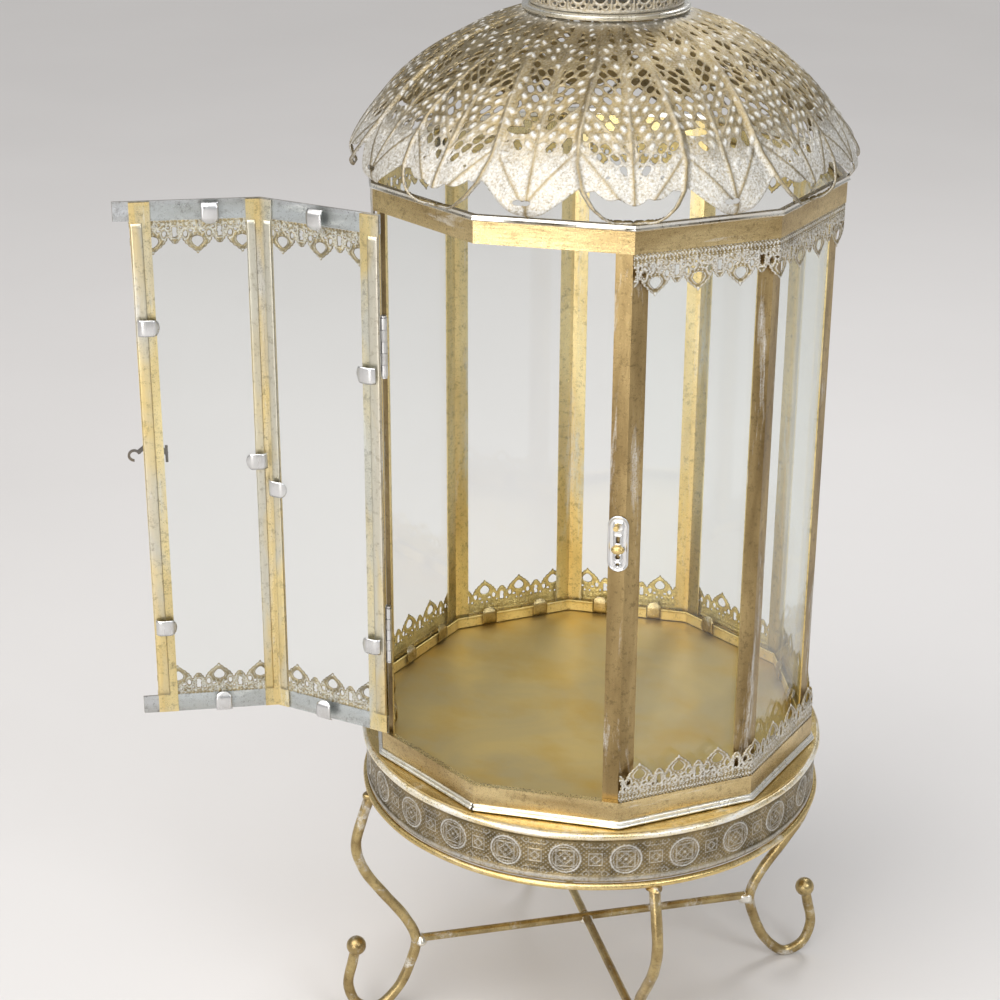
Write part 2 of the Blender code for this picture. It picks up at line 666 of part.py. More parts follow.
def add_hook(side, peg, hook_axis):
    """The hook's arm points down to the peg, its mouth opens away from the swing, and a tab balances it."""
    reach = Vector(peg)
    outer = HOOK_MOUTH_R + HOOK_WIDTH * 0.6
    arm_end = reach * (1 - (HOOK_MOUTH_R + 0.0006) / reach.length)
    tab_left, tab_right, tab_low, tab_high = THUMB_TAB
    tab_middle = (tab_left + 0.0008, (tab_low + tab_high) / 2)
    outlines = [
        circle((0, 0), HOOK_EYE_R, 20),
        bar_outline((0, 0), tuple(arm_end), HOOK_WIDTH),
        arc_band(peg, HOOK_MOUTH_R, outer, -90, 165, 12),
        bar_outline((0, 0), tab_middle, HOOK_WIDTH),
        rectangle(tab_left, tab_right, tab_low, tab_high),
    ]
    # Each outline is a hair thinner than the one before, so that no two faces lie in one plane.
    layers = [(outline, HOOK_OFFSET + i * HAIR, HOOK_OFFSET + HOOK_THICK - i * HAIR)
              for i, outline in enumerate(outlines)]
    hook = join_solids("latch_hook", latch_plates(side, layers), "steel", hook_axis)
    bore_layer = [(circle((0, 0), HOOK_BORE_R, 16), HOOK_OFFSET - HOOK_THICK,
                   HOOK_OFFSET + 2 * HOOK_THICK)]
    bore = add_object("latch_hook_bore", mesh_of(latch_plates(side, bore_layer)[0], "latch_hook_bore"),
                      "steel", hook_axis)
    bore.hide_render = True
    bore.display_type = "WIRE"
    cut = hook.modifiers.new("bore", "BOOLEAN")
    cut.operation = "DIFFERENCE"
    cut.solver = "EXACT"
    cut.object = bore


def main():
    clear_scene()
    add_legs()
    add_stretchers()
    add_drum()
    add_plinth()
    add_posts()
    add_panes()
    add_top_band()
    add_lace()
    add_roof()
    axis = add_door()
    add_hinges(axis)
    add_latch(axis)


main()
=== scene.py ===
"""Looks of the ten-sided glazed lantern: pierced dome, lace, frieze, clips, metals, glass and light.

Metres, +Z up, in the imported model's frame. A bearing of 0 points to -Y and grows towards +X. A stamped sheet
is worked out in mm on a flat grid, as fields of metal, height and wash, and a place function bends it.
"""

import json
import math
from functools import partial

import bpy
import numpy as np
from mathutils import Matrix, Vector


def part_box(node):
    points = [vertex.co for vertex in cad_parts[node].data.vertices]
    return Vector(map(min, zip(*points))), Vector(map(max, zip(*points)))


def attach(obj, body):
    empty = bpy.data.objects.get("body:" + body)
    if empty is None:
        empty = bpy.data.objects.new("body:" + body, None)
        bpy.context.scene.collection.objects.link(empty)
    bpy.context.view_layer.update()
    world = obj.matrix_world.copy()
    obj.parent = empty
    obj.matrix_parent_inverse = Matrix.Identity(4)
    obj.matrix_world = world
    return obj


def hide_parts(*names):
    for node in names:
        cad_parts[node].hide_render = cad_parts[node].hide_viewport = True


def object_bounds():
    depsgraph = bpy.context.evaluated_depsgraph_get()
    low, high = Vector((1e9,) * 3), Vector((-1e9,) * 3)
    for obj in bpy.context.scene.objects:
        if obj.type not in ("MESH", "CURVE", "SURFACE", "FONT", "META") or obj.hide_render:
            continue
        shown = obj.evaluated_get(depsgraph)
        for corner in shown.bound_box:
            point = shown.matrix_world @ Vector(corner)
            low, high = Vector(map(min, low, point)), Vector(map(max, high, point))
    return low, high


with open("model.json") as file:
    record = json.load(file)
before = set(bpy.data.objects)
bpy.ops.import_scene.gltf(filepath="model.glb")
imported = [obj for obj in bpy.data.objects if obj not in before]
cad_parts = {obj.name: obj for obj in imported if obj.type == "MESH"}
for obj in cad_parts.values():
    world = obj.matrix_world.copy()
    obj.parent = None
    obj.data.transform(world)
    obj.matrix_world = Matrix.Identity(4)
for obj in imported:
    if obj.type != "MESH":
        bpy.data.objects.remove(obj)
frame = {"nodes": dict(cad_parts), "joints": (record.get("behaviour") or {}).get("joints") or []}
START_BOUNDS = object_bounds()
NODES = frame["nodes"]
JOINTS = {joint["name"]: joint for joint in frame["joints"]}
MM = 0.001
UP = Vector((0, 0, 1))

SIDES = 10
STEP_DEG = 360 / SIDES
HALF_STEP = math.pi / SIDES
FIXED_CORNERS = [STEP_DEG * i for i in range(1, SIDES)]
DOOR_CORNERS = [-STEP_DEG, 0, STEP_DEG]
DOOR_OPEN_DEG = 158
DOOR_AXIS = Vector((*JOINTS["door_hinge"]["pos_m"][:2], 0))
SHEET, GAP, GLASS = 0.0012, 0.0003, 0.002  # thicknesses in the CAD


# Places


def polar(bearing_deg, radius, z=0.0):
    angle = math.radians(bearing_deg)
    return Vector((radius * math.sin(angle), -radius * math.cos(angle), z))


def around(bearing_deg, radius, z):
    """The same for arrays."""
    angle = np.radians(bearing_deg)
    return np.stack(np.broadcast_arrays(radius * np.sin(angle), -radius * np.cos(angle), z), -1)


def side_axes(normal_deg):
    """Along one of the cabinet's sides, towards growing bearings, and out of it."""
    angle = math.radians(normal_deg)
    return Vector((math.cos(angle), math.sin(angle), 0)), polar(normal_deg, 1.0)


def on_side(normal_deg, along, out, z=0.0):
    """A point on one of the cabinet's sides, out from the axis and along from the side's middle."""
    return polar(normal_deg, out, z) + side_axes(normal_deg)[0] * along


def reach(node):
    """How far a node's flat outer face is from the axis, from its farthest corner."""
    points = np.array([v.co[:2] for v in NODES[node].data.vertices])
    return float(np.hypot(points[:, 0], points[:, 1]).max()) * math.cos(HALF_STEP)


POST_FACE = reach("corner_post_1")
PANE_INSIDE = POST_FACE - SHEET - GAP - GLASS


def opened(piece):
    """Swings a door piece made in the closed position to where the door stands at rest."""
    turn = Matrix.Rotation(math.radians(-DOOR_OPEN_DEG), 4, "Z")
    piece.data.transform(Matrix.Translation(DOOR_AXIS) @ turn @ Matrix.Translation(-DOOR_AXIS))
    return piece


def ring_place(radius, z_low):
    """A place function for a sheet rolled into a ring: bearing in degrees, mm up from z_low, mm out."""
    return lambda u, t, h: around(u, radius + h * MM, z_low + t * MM)


def side_place(normal_deg, middle, out, z_zero, facing):
    """A place function for a flat sheet on a side: mm along, mm up, and mm out (facing 1) or in (-1)."""

    def place(u, t, h):
        spots = zip(middle + u * MM, out + facing * h * MM, z_zero + t * MM)
        return np.array([on_side(normal_deg, *spot) for spot in spots])

    return place


def side_path(corner_bearings, out, short_first=0.0, short_last=0.0):
    """Corner points of a path along the cabinet's sides, this far out, with its two ends cut short."""
    points = [polar(b, out / math.cos(HALF_STEP)) for b in corner_bearings]
    points[0] = points[0] + (points[1] - points[0]).normalized() * short_first
    points[-1] = points[-1] + (points[-2] - points[-1]).normalized() * short_last
    return points


def path_place(path, z_edge, up=1, outwards=1):
    """A place function for a sheet whose u runs 0 to 1 along a path, and t in mm up (or down) from z_edge."""
    lengths = np.array([(q - p).length for p, q in zip(path, path[1:])])
    stops = np.concatenate([[0], np.cumsum(lengths)])
    corners = np.array([[p.x, p.y] for p in path])

    def place(u, t, h):
        run = u * stops[-1]
        i = np.clip(np.searchsorted(stops, run, side="right") - 1, 0, len(lengths) - 1)
        share = ((run - stops[i]) / lengths[i])[:, None]
        along = corners[i + 1] - corners[i]
        normal = np.stack([along[:, 1], -along[:, 0]], -1) / lengths[i][:, None]
        xy = corners[i] + along * share + normal * (h * MM * outwards)[:, None]
        return np.column_stack([xy, z_edge + up * t * MM])

    return place


# Meshes


def add_object(name, data):
    added = bpy.data.objects.new(name, data)
    bpy.context.scene.collection.objects.link(added)
    return added


def add_piece(name, points, faces, material, body="cabinet", nodes=(), wash=0.0):
    """A mesh piece, marked with the body that it will ride on, that stands for the CAD nodes named."""
    mesh = bpy.data.meshes.new(name)
    mesh.from_pydata([tuple(p) for p in points], [], [tuple(f) for f in faces])
    attribute = mesh.attributes.new("wash", "FLOAT", "POINT")
    attribute.data.foreach_set("value", np.full(len(points), wash, np.float32))
    mesh.materials.append(MATERIALS[material])
    mesh.shade_smooth()
    mesh.set_sharp_from_angle(angle=math.radians(50))
    piece = add_object(name, mesh)
    piece["body"] = body
    if nodes:
        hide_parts(*nodes)
    return piece


def settle(piece):
    """Ties a finished piece to its body."""
    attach(piece, piece["body"])
    del piece["body"]
    return piece


def thicken(piece, thickness, inside=None):
    """Gives a sheet its thickness, inwards, and its inner side a material of its own."""
    modifier = piece.modifiers.new("Sheet", "SOLIDIFY")
    modifier.thickness = thickness
    modifier.offset = -1
    if inside:
        piece.data.materials.append(MATERIALS[inside])
        modifier.material_offset = 1
    return piece


def neighbours(values):
    """The same grid shifted one step each of eight ways, with its edge repeated."""
    padded = np.pad(values, 1, mode="edge")
    rows, columns = values.shape
    for i in (0, 1, 2):
        for j in (0, 1, 2):
            if (i, j) != (1, 1):
                yield padded[i : i + rows, j : j + columns]


def snap_edges(u, t, solid):
    """Moves the grid points just off the metal onto its edge, where solid is 0."""
    moved_u, moved_t, hits = np.zeros_like(u), np.zeros_like(t), np.zeros_like(u)
    for near_u, near_t, near in zip(neighbours(u), neighbours(t), neighbours(solid)):
        crosses = (solid <= 0) & (near > 0)
        share = np.where(crosses, solid / np.minimum(solid - near, -1e-9), 0)
        moved_u += np.where(crosses, u + share * (near_u - u), 0)
        moved_t += np.where(crosses, t + share * (near_t - t), 0)
        hits += crosses
    count = np.maximum(hits, 1)
    return np.where(hits > 0, moved_u / count, u), np.where(hits > 0, moved_t / count, t)


def grid(first_u, last_u, columns, first_t, last_t, rows):
    return np.meshgrid(np.linspace(first_u, last_u, columns), np.linspace(first_t, last_t, rows))


def grid_faces(rows, columns):
    index = np.arange(rows * columns).reshape(rows, columns)
    return np.stack([index[:-1, :-1], index[:-1, 1:], index[1:, 1:], index[1:, :-1]], -1).reshape(-1, 4)


def closed_faces(rows, columns, first=False, last=False):
    """Faces of a grid whose columns close into rings, and of its first and last ring if they are filled."""
    index = np.arange(rows * columns).reshape(rows, columns)
    following = np.roll(index, -1, axis=1)
    faces = np.stack([index[:-1], following[:-1], following[1:], index[1:]], -1).reshape(-1, 4).tolist()
    return faces + [index[0][::-1].tolist()] * first + [index[-1].tolist()] * last


def sheet(name, u, t, solid, height, wash, place, material, nodes=(), body="cabinet"):
    """A pierced and embossed sheet, from fields on a grid of (u, t), with metal where solid is over 0."""
    u, t = snap_edges(u, t, solid)
    kept = np.maximum.reduce([solid[:-1, :-1], solid[:-1, 1:], solid[1:, 1:], solid[1:, :-1]]) > 0
    used, inverse = np.unique(grid_faces(*u.shape)[kept.ravel()], return_inverse=True)
    points = place(*(field.ravel()[used] for field in (u, t, height)))
    return add_piece(name, points, inverse.reshape(-1, 4), material, body, nodes, wash.ravel()[used])


def turned(name, side, steps, material, node, wash):
    """A closed turned shape from its outer (radius, z) points, bottom to top, in place of a CAD node."""
    points = around(np.linspace(0, 360, steps, endpoint=False), side[:, :1], side[:, 1:]).reshape(-1, 3)
    faces = closed_faces(len(side), steps, first=True, last=True)
    settle(add_piece(name, points, faces, material, nodes=[node], wash=wash))


def smooth_profile(points, count):
    """Points evenly spaced on the Catmull-Rom curve through a profile."""
    points = np.array(points, float)
    padded = np.vstack([2 * points[0] - points[1], points, 2 * points[-1] - points[-2]])
    dense = []
    for p0, p1, p2, p3 in zip(padded, padded[1:], padded[2:], padded[3:]):
        for x in np.linspace(0, 1, 24, endpoint=False):
            dense.append(0.5 * (2 * p1 + (p2 - p0) * x + (2 * p0 - 5 * p1 + 4 * p2 - p3) * x**2
                                + (3 * p1 - p0 - 3 * p2 + p3) * x**3))
    dense = np.array(dense + [points[-1]])
    travelled = run_lengths(dense)
    at = np.linspace(0, travelled[-1], count)
    return np.stack([np.interp(at, travelled, dense[:, k]) for k in range(points.shape[1])], -1)


def run_lengths(points):
    return np.concatenate([[0], np.cumsum(np.linalg.norm(np.diff(points, axis=0), axis=1))])


def tube(name, route, radii, sides, material, node):
    """A round bar through 3-D points, with its ends closed, in place of a CAD node."""
    points, across = [], None
    for i, point in enumerate(route):
        ahead = (route[min(i + 1, len(route) - 1)] - route[max(i - 1, 0)]).normalized()
        if across is None:
            across = ahead.orthogonal().normalized()
        across = (across - ahead * across.dot(ahead)).normalized()
        other = ahead.cross(across)
        for k in range(sides):
            a = math.tau * k / sides
            points.append(point + (across * math.cos(a) + other * math.sin(a)) * radii[i])
    faces = closed_faces(len(route), sides, first=True, last=True)
    settle(add_piece(name, points, faces, material, nodes=[node]))


def bump(distance, width):
    """A smooth ridge: 1 where distance is 0, gone at about twice the width."""
    return np.exp(-((distance / width) ** 2))


def dot(distance, radius):
    """A round button: 1 in its middle and 0 from its radius on."""
    return np.clip(1 - (distance / radius) ** 2, 0, 1)


def ragged(shape, seed, smoothing):
    """Repeatable random numbers on a grid, averaged with their neighbours so many times."""
    values = np.random.default_rng(seed).random(shape)
    for _ in range(smoothing):
        values = sum(neighbours(values)) / 8
    return values


def stippled(u, t, cell_u, cell_t, seed):
    """Distance to the nearest site of a jittered lattice, and that site's own random number."""
    nearest, number = np.full(u.shape, 1e9), np.zeros(u.shape)
    column, row = np.floor(u / cell_u).astype(int), np.floor(t / cell_t).astype(int)
    columns, rows = 997, 400
    table = np.random.default_rng(seed).random((columns, rows, 4))
    for i in (-1, 0, 1):
        for j in (-1, 0, 1):
            site = table[(column + i) % columns, (row + j) % rows]
            du = u - (column + i + 0.5 + 0.6 * (site[..., 0] - 0.5) + 0.5 * ((row + j) % 2)) * cell_u
            dt = t - (row + j + 0.5 + 0.6 * (site[..., 1] - 0.5)) * cell_t
            away = np.hypot(du, dt)
            number = np.where(away < nearest, site[..., 3], number)
            nearest = np.minimum(away, nearest)
    return nearest, number


# Materials


class Shader:
    """Builds one node material, step by step."""

    def __init__(self, name, slot):
        self.material = bpy.data.materials.new(name)
        self.material.use_nodes = True
        self.material["slot"] = slot
        self.tree = self.material.node_tree
        self.surface = self.tree.nodes["Principled BSDF"]
        coordinates = self.tree.nodes.new("ShaderNodeTexCoord")
        self.place = coordinates.outputs["Object"]
        self.normal = coordinates.outputs["Normal"]

    def put(self, target, value):
        """Links a socket to an input, or sets the input's constant."""
        if isinstance(value, bpy.types.NodeSocket):
            self.tree.links.new(value, target)
        else:
            target.default_value = value

    def stretched(self, scale):
        mapping = self.tree.nodes.new("ShaderNodeMapping")
        self.tree.links.new(self.place, mapping.inputs["Vector"])
        mapping.inputs["Scale"].default_value = scale
        return mapping.outputs["Vector"]

    def noise(self, scale, detail=4.0, roughness=0.6, stretch=None, distortion=0.0):
        node = self.tree.nodes.new("ShaderNodeTexNoise")
        self.put(node.inputs["Vector"], self.place if stretch is None else self.stretched(stretch))
        names = ("Scale", "Detail", "Roughness", "Distortion")
        for name, number in zip(names, (scale, detail, roughness, distortion)):
            node.inputs[name].default_value = number
        return node.outputs["Fac"]

    def between(self, value, low, high, to_low=0.0, to_high=1.0):
        """Maps low..high to to_low..to_high, clamped."""
        node = self.tree.nodes.new("ShaderNodeMapRange")
        self.put(node.inputs["Value"], value)
        names = ("From Min", "From Max", "To Min", "To Max")
        for name, number in zip(names, (low, high, to_low, to_high)):
            node.inputs[name].default_value = number
        return node.outputs["Result"]

    def pair(self, kind, operation, a, b):
        """A node that works something out from two values."""
        node = self.tree.nodes.new(kind)
        node.operation = operation
        self.put(node.inputs[0], a)
        self.put(node.inputs[1], b)
        return node

    def maths(self, operation, a, b):
        node = self.pair("ShaderNodeMath", operation, a, b)
        node.use_clamp = True
        return node.outputs["Value"]

    def mix(self, share, a, b):
        node = self.tree.nodes.new("ShaderNodeMix")
        node.data_type = "RGBA"
        self.put(node.inputs["Factor"], share)
        for socket, value in ((node.inputs[6], a), (node.inputs[7], b)):
            self.put(socket, value if isinstance(value, bpy.types.NodeSocket) else (*value, 1.0))
        return node.outputs[2]

    def painted(self):
        """The wash painted on the mesh's points."""
        node = self.tree.nodes.new("ShaderNodeAttribute")
        node.attribute_name = "wash"
        return node.outputs["Fac"]

    def outward(self, centre):
        """1 where the surface faces away from a vertical axis through centre, 0 where it faces it."""
        away = self.pair("ShaderNodeVectorMath", "SUBTRACT", self.place, centre)
        flat = self.pair("ShaderNodeVectorMath", "MULTIPLY", away.outputs["Vector"], (1, 1, 0))
        facing = self.pair("ShaderNodeVectorMath", "DOT_PRODUCT", flat.outputs["Vector"], self.normal)
        return self.between(facing.outputs["Value"], -0.004, 0.004)

    def roughened(self, height, strength, distance):
        node = self.tree.nodes.new("ShaderNodeBump")
        self.put(node.inputs["Height"], height)
        node.inputs["Strength"].default_value = strength
        node.inputs["Distance"].default_value = distance
        self.put(self.surface.inputs["Normal"], node.outputs["Normal"])

    def finish(self, colour, roughness, metallic):
        self.put(self.surface.inputs["Base Color"], colour)
        self.put(self.surface.inputs["Roughness"], roughness)
        self.put(self.surface.inputs["Metallic"], metallic)
        return self.material


def gilded(name, golds, wash_share, roughness, streaks, grain=0.25, painted=False, inner=None,
           centre=(0, 0, 0), fullness=1.0, silver=None, slot="antique_gold"):
    """Antique gold, brushed along streaks over brown, with a white wash in patches and where it is painted.

    A piece may have another pair of golds, inner, on the side that faces its centre, and bare silver in long
    patches: where those begin on the noise, and the most that shows. fullness is how metallic bare gold is.
    """
    light, deep = golds
    shader = Shader(name, slot)
    between, noise, mix = shader.between, shader.noise, shader.mix
    times, plus = (partial(shader.maths, operation) for operation in ("MULTIPLY", "ADD"))
    cloudy = tuple(max(s, 0.22) for s in streaks)
    broad = between(noise(55, 3, 0.5, stretch=cloudy, distortion=0.3), 0.3, 0.7)
    brushed = between(noise(520, 5, 0.65, stretch=streaks), 0.4, 0.75)
    worn = between(noise(190, 8, 0.85), 0.53, 0.6)
    fine = noise(900, 4, 0.7)
    gold = mix(broad, deep, light)
    brown = tuple(0.3 * c for c in deep)
    gold = mix(times(brushed, 0.35), gold, deep)
    if inner:
        gold = mix(shader.outward(centre), mix(broad, inner[1], inner[0]), gold)
    if silver:
        start, most = silver
        long_patches = noise(26, 3, 0.6, stretch=(1, 1, 0.3), distortion=0.5)
        bare = between(long_patches, start - 0.1, start + 0.06, 0.0, most)
        gold = mix(bare, gold, (0.6, 0.62, 0.62))
    gold = mix(times(worn, 0.42), gold, brown)
    patches = noise(60, 7, 0.75, stretch=streaks, distortion=0.4)
    patches = between(patches, 0.6 - wash_share, 0.74 - wash_share)
    wash = times(patches, between(fine, 0.3, 0.55))
    if painted:
        broken = between(noise(650, 5, 0.75), 0.4, 0.58)
        laid = times(shader.painted(), plus(broken, 0.36))
        wash = shader.maths("MAXIMUM", laid, times(wash, 0.5))
    colour = mix(wash, gold, (0.76, 0.76, 0.74))
    bare_rough = between(fine, 0.2, 0.8, roughness - 0.1, roughness + 0.14)
    rough = plus(bare_rough, times(wash, 0.14))
    metal = between(wash, 0.0, 1.0, fullness, 0.2)
    relief = plus(times(fine, 0.6), times(brushed, 0.4))
    shader.roughened(relief, grain, 0.0006)
    return shader.finish(colour, rough, metal)


def silvery(name, slot, light, dark, roughness, tarnish):
    """Pale metal with cloudy tarnish and fine brushing."""
    shader = Shader(name, slot)
    cloudy = shader.between(shader.noise(45, 6, 0.65, distortion=0.5), 0.4, 0.7)
    brushed = shader.noise(500, 4, 0.6, stretch=(1, 1, 0.1))
    colour = shader.mix(shader.maths("MULTIPLY", cloudy, tarnish), light, dark)
    rough = shader.between(brushed, 0.25, 0.75, roughness - 0.06, roughness + 0.12)
    shader.roughened(brushed, 0.18, 0.0004)
    return shader.finish(colour, rough, 1.0)


def mottled_floor():
    """The display floor: brushed pale brass with broad brown and grey clouds."""
    shader = Shader("mottled_gold", "floor_gold")
    clouds = shader.between(shader.noise(11, 4, 0.5, distortion=1.2), 0.36, 0.64)
    ochre = shader.between(shader.noise(17, 5, 0.55, stretch=(1, 1.4, 1)), 0.46, 0.7)
    fine = shader.noise(1400, 3, 0.7)
    colour = shader.mix(clouds, (0.5, 0.4, 0.2), (0.6, 0.46, 0.19))
    colour = shader.mix(shader.maths("MULTIPLY", ochre, 0.75), colour, (0.55, 0.36, 0.08))
    shader.roughened(fine, 0.22, 0.0003)
    return shader.finish(colour, shader.between(fine, 0.2, 0.8, 0.36, 0.52), 0.85)


def window_glass():
    """Thin clear glass: it lets light straight through and mirrors more at a slant, with faint dust."""
    shader = Shader("clear_glass", "glass")
    nodes, links = shader.tree.nodes, shader.tree.links
    clear = nodes.new("ShaderNodeBsdfTransparent")
    clear.inputs["Color"].default_value = (0.985, 0.992, 0.987, 1.0)
    shader.finish((0.93, 0.96, 0.95, 1.0), 0.04, 1.0)
    weight = nodes.new("ShaderNodeLayerWeight")
    slant = shader.maths("POWER", weight.outputs["Facing"], 4.0)
    dust = shader.between(shader.noise(30, 6, 0.7, distortion=0.8), 0.5, 0.85, 0.03, 0.055)
    share = shader.maths("ADD", shader.maths("MULTIPLY", slant, 0.75), dust)
    mixed = nodes.new("ShaderNodeMixShader")
    links.new(share, mixed.inputs["Fac"])
    links.new(clear.outputs["BSDF"], mixed.inputs[1])
    links.new(shader.surface.outputs["BSDF"], mixed.inputs[2])
    links.new(mixed.outputs["Shader"], nodes["Material Output"].inputs["Surface"])
    return shader.material


# The cabinet's axis as the open door carries it.
DOOR_CENTRE = Matrix.Rotation(math.radians(-DOOR_OPEN_DEG), 3, "Z") @ -DOOR_AXIS + DOOR_AXIS
# Pairs of golds, (light, deep), and the ways that brush marks run.
BRIGHT = ((0.92, 0.76, 0.4), (0.7, 0.54, 0.24))
BRONZE = ((0.47, 0.345, 0.16), (0.2, 0.135, 0.055))
# The golds of the dome's inside are darkened as painted shade for its unlit far side.
PAINTED_SHADE = ((0.34, 0.26, 0.12), (0.17, 0.13, 0.07))
SILVERED = ((0.64, 0.67, 0.7), (0.42, 0.42, 0.4))
UPRIGHT, LEVEL, EVEN = (1, 1, 0.12), (0.3, 0.3, 1), (1, 1, 1)
MATERIALS = {
    "post": gilded("brushed_gold", BRONZE, 0.05, 0.3, UPRIGHT, inner=BRIGHT, fullness=0.9),
    "stile": gilded("door_gold", BRONZE, 0.05, 0.3, UPRIGHT, inner=BRIGHT,
                    centre=DOOR_CENTRE, fullness=0.9, silver=(0.58, 0.75)),
    "band": gilded("band_gold", ((0.72, 0.57, 0.3), (0.38, 0.27, 0.12)), 0.0, 0.27, (0.1, 0.1, 1),
                   inner=BRIGHT),
    "ledge": gilded("ledge_gold", ((0.84, 0.66, 0.32), (0.58, 0.42, 0.16)), 0.03, 0.28, LEVEL),
    "cream": gilded("cream_gold", ((0.98, 0.88, 0.62), (0.78, 0.6, 0.3)), 0.16, 0.26, LEVEL),
    "brass": gilded("clip_brass", ((0.66, 0.54, 0.3), (0.36, 0.27, 0.12)), 0.02, 0.3, EVEN),
    "lace": gilded("washed_lace", ((0.5, 0.4, 0.21), (0.26, 0.2, 0.1)), 0.04, 0.3, EVEN, 0.6,
                   painted=True, slot="washed_gold"),
    "bar": gilded("bar_gold", ((0.62, 0.49, 0.24), (0.3, 0.21, 0.09)), 0.06, 0.3, EVEN),
    "relief": gilded("washed_relief", ((0.44, 0.34, 0.17), (0.24, 0.18, 0.08)), 0.02, 0.34, EVEN, 0.9,
                     painted=True, slot="washed_gold"),
    "frieze": gilded("frieze_relief", ((0.34, 0.26, 0.13), (0.13, 0.1, 0.05)), 0.0, 0.32, EVEN, 0.5,
                     painted=True, slot="washed_gold"),
    "inner": gilded("inner_gold", ((0.98, 0.8, 0.36), (0.8, 0.6, 0.22)), 0.0, 0.42, EVEN, fullness=0.6,
                    slot="washed_gold"),
    # The dome's inner side: darker gold as painted shade.
    "shade": gilded("painted_shade_inner_gold", PAINTED_SHADE, 0.0, 0.5, EVEN, slot="washed_gold"),
    "bead": silvery("pale_bead", "pale_metal", (0.9, 0.89, 0.84), (0.62, 0.52, 0.32), 0.28, 0.45),
    "rail": gilded("rail_silver", BRONZE, 0.05, 0.3, LEVEL, inner=SILVERED,
                   centre=DOOR_CENTRE, slot="pale_metal"),
    "lip": gilded("silvered_gold", BRIGHT, 0.0, 0.34, UPRIGHT, silver=(0.5, 0.7), slot="pale_metal"),
    "steel": silvery("bright_steel", "steel", (0.72, 0.72, 0.72), (0.46, 0.45, 0.42), 0.28, 0.6),
    "dark_steel": silvery("dark_steel", "steel", (0.16, 0.15, 0.14), (0.3, 0.24, 0.15), 0.35, 0.6),
    "floor": mottled_floor(),
    "glass": window_glass(),
}


# Roof

DOME_SECTORS = 8
SECTOR_DEG = 360 / DOME_SECTORS
LOOP_BEARING = 35.5  # of the middle of one looped leaf
DOME_SIDE = smooth_profile([
    (0.1655, 0.4128), (0.1695, 0.416), (0.1703, 0.4215), (0.164, 0.434), (0.152, 0.45),
    (0.136, 0.468), (0.115, 0.485), (0.09, 0.4995), (0.064, 0.5095), (0.05, 0.513),
], 400)
DOME_ARC = run_lengths(DOME_SIDE)
DOME_TALL = float(DOME_ARC[-1]) / MM


def place_on_dome(u, t, height):
    """Puts (bearing in degrees, mm up from the rim along the dome, mm out) on the dome."""
    slope = np.gradient(DOME_SIDE, axis=0)
    fields = (DOME_SIDE[:, 0], DOME_SIDE[:, 1], slope[:, 1], -slope[:, 0])
    r, z, normal_r, normal_z = (np.interp(t * MM, DOME_ARC, field) for field in fields)
    lift = height * MM / np.hypot(normal_r, normal_z)
    return around(u, r + lift * normal_r, z + lift * normal_z)


def loop_width(t):
    """Half the angle of a looped leaf, t mm up from the rim."""
    rises = [0.0, 2.0, 6.0, 12.0, 22.0, 40.0, 62.0, 90.0, 120.0, DOME_TALL]
    return np.interp(t, rises, [0.0, 4.2, 6.8, 9.2, 11.4, 13.0, 13.0, 11.6, 9.5, 8.0])


def lattice(across, t, lean_deg, long, wide, seed):
    """Rows of cells leaning away from a midrib: a point's place in its cell, two random numbers, its row."""
    lean = math.radians(lean_deg)
    along = t * math.cos(lean) + across * math.sin(lean)
    aside = (across * math.cos(lean) - t * math.sin(lean)) / wide + 400
    row = np.floor(aside).astype(int)
    table = np.random.default_rng(seed).random((997, 997, 2))
    shifted = along / long + 0.5 * (row % 2) + 0.4 * table[row % 997, 0, 0] + 400
    cell = np.floor(shifted).astype(int)
    numbers = table[row % 997, cell % 997]
    x, y = (shifted - cell - 0.5) * long, (aside - row - 0.5) * wide
    return x, y, numbers[..., 0], numbers[..., 1], aside


def soft_box(x, y, half_x, half_y):
    """Distance in mm from a box with well rounded corners, negative inside it."""
    return ((np.abs(x / half_x) ** 3 + np.abs(y / half_y) ** 3) ** (1 / 3) - 1) * np.minimum(half_x, half_y)


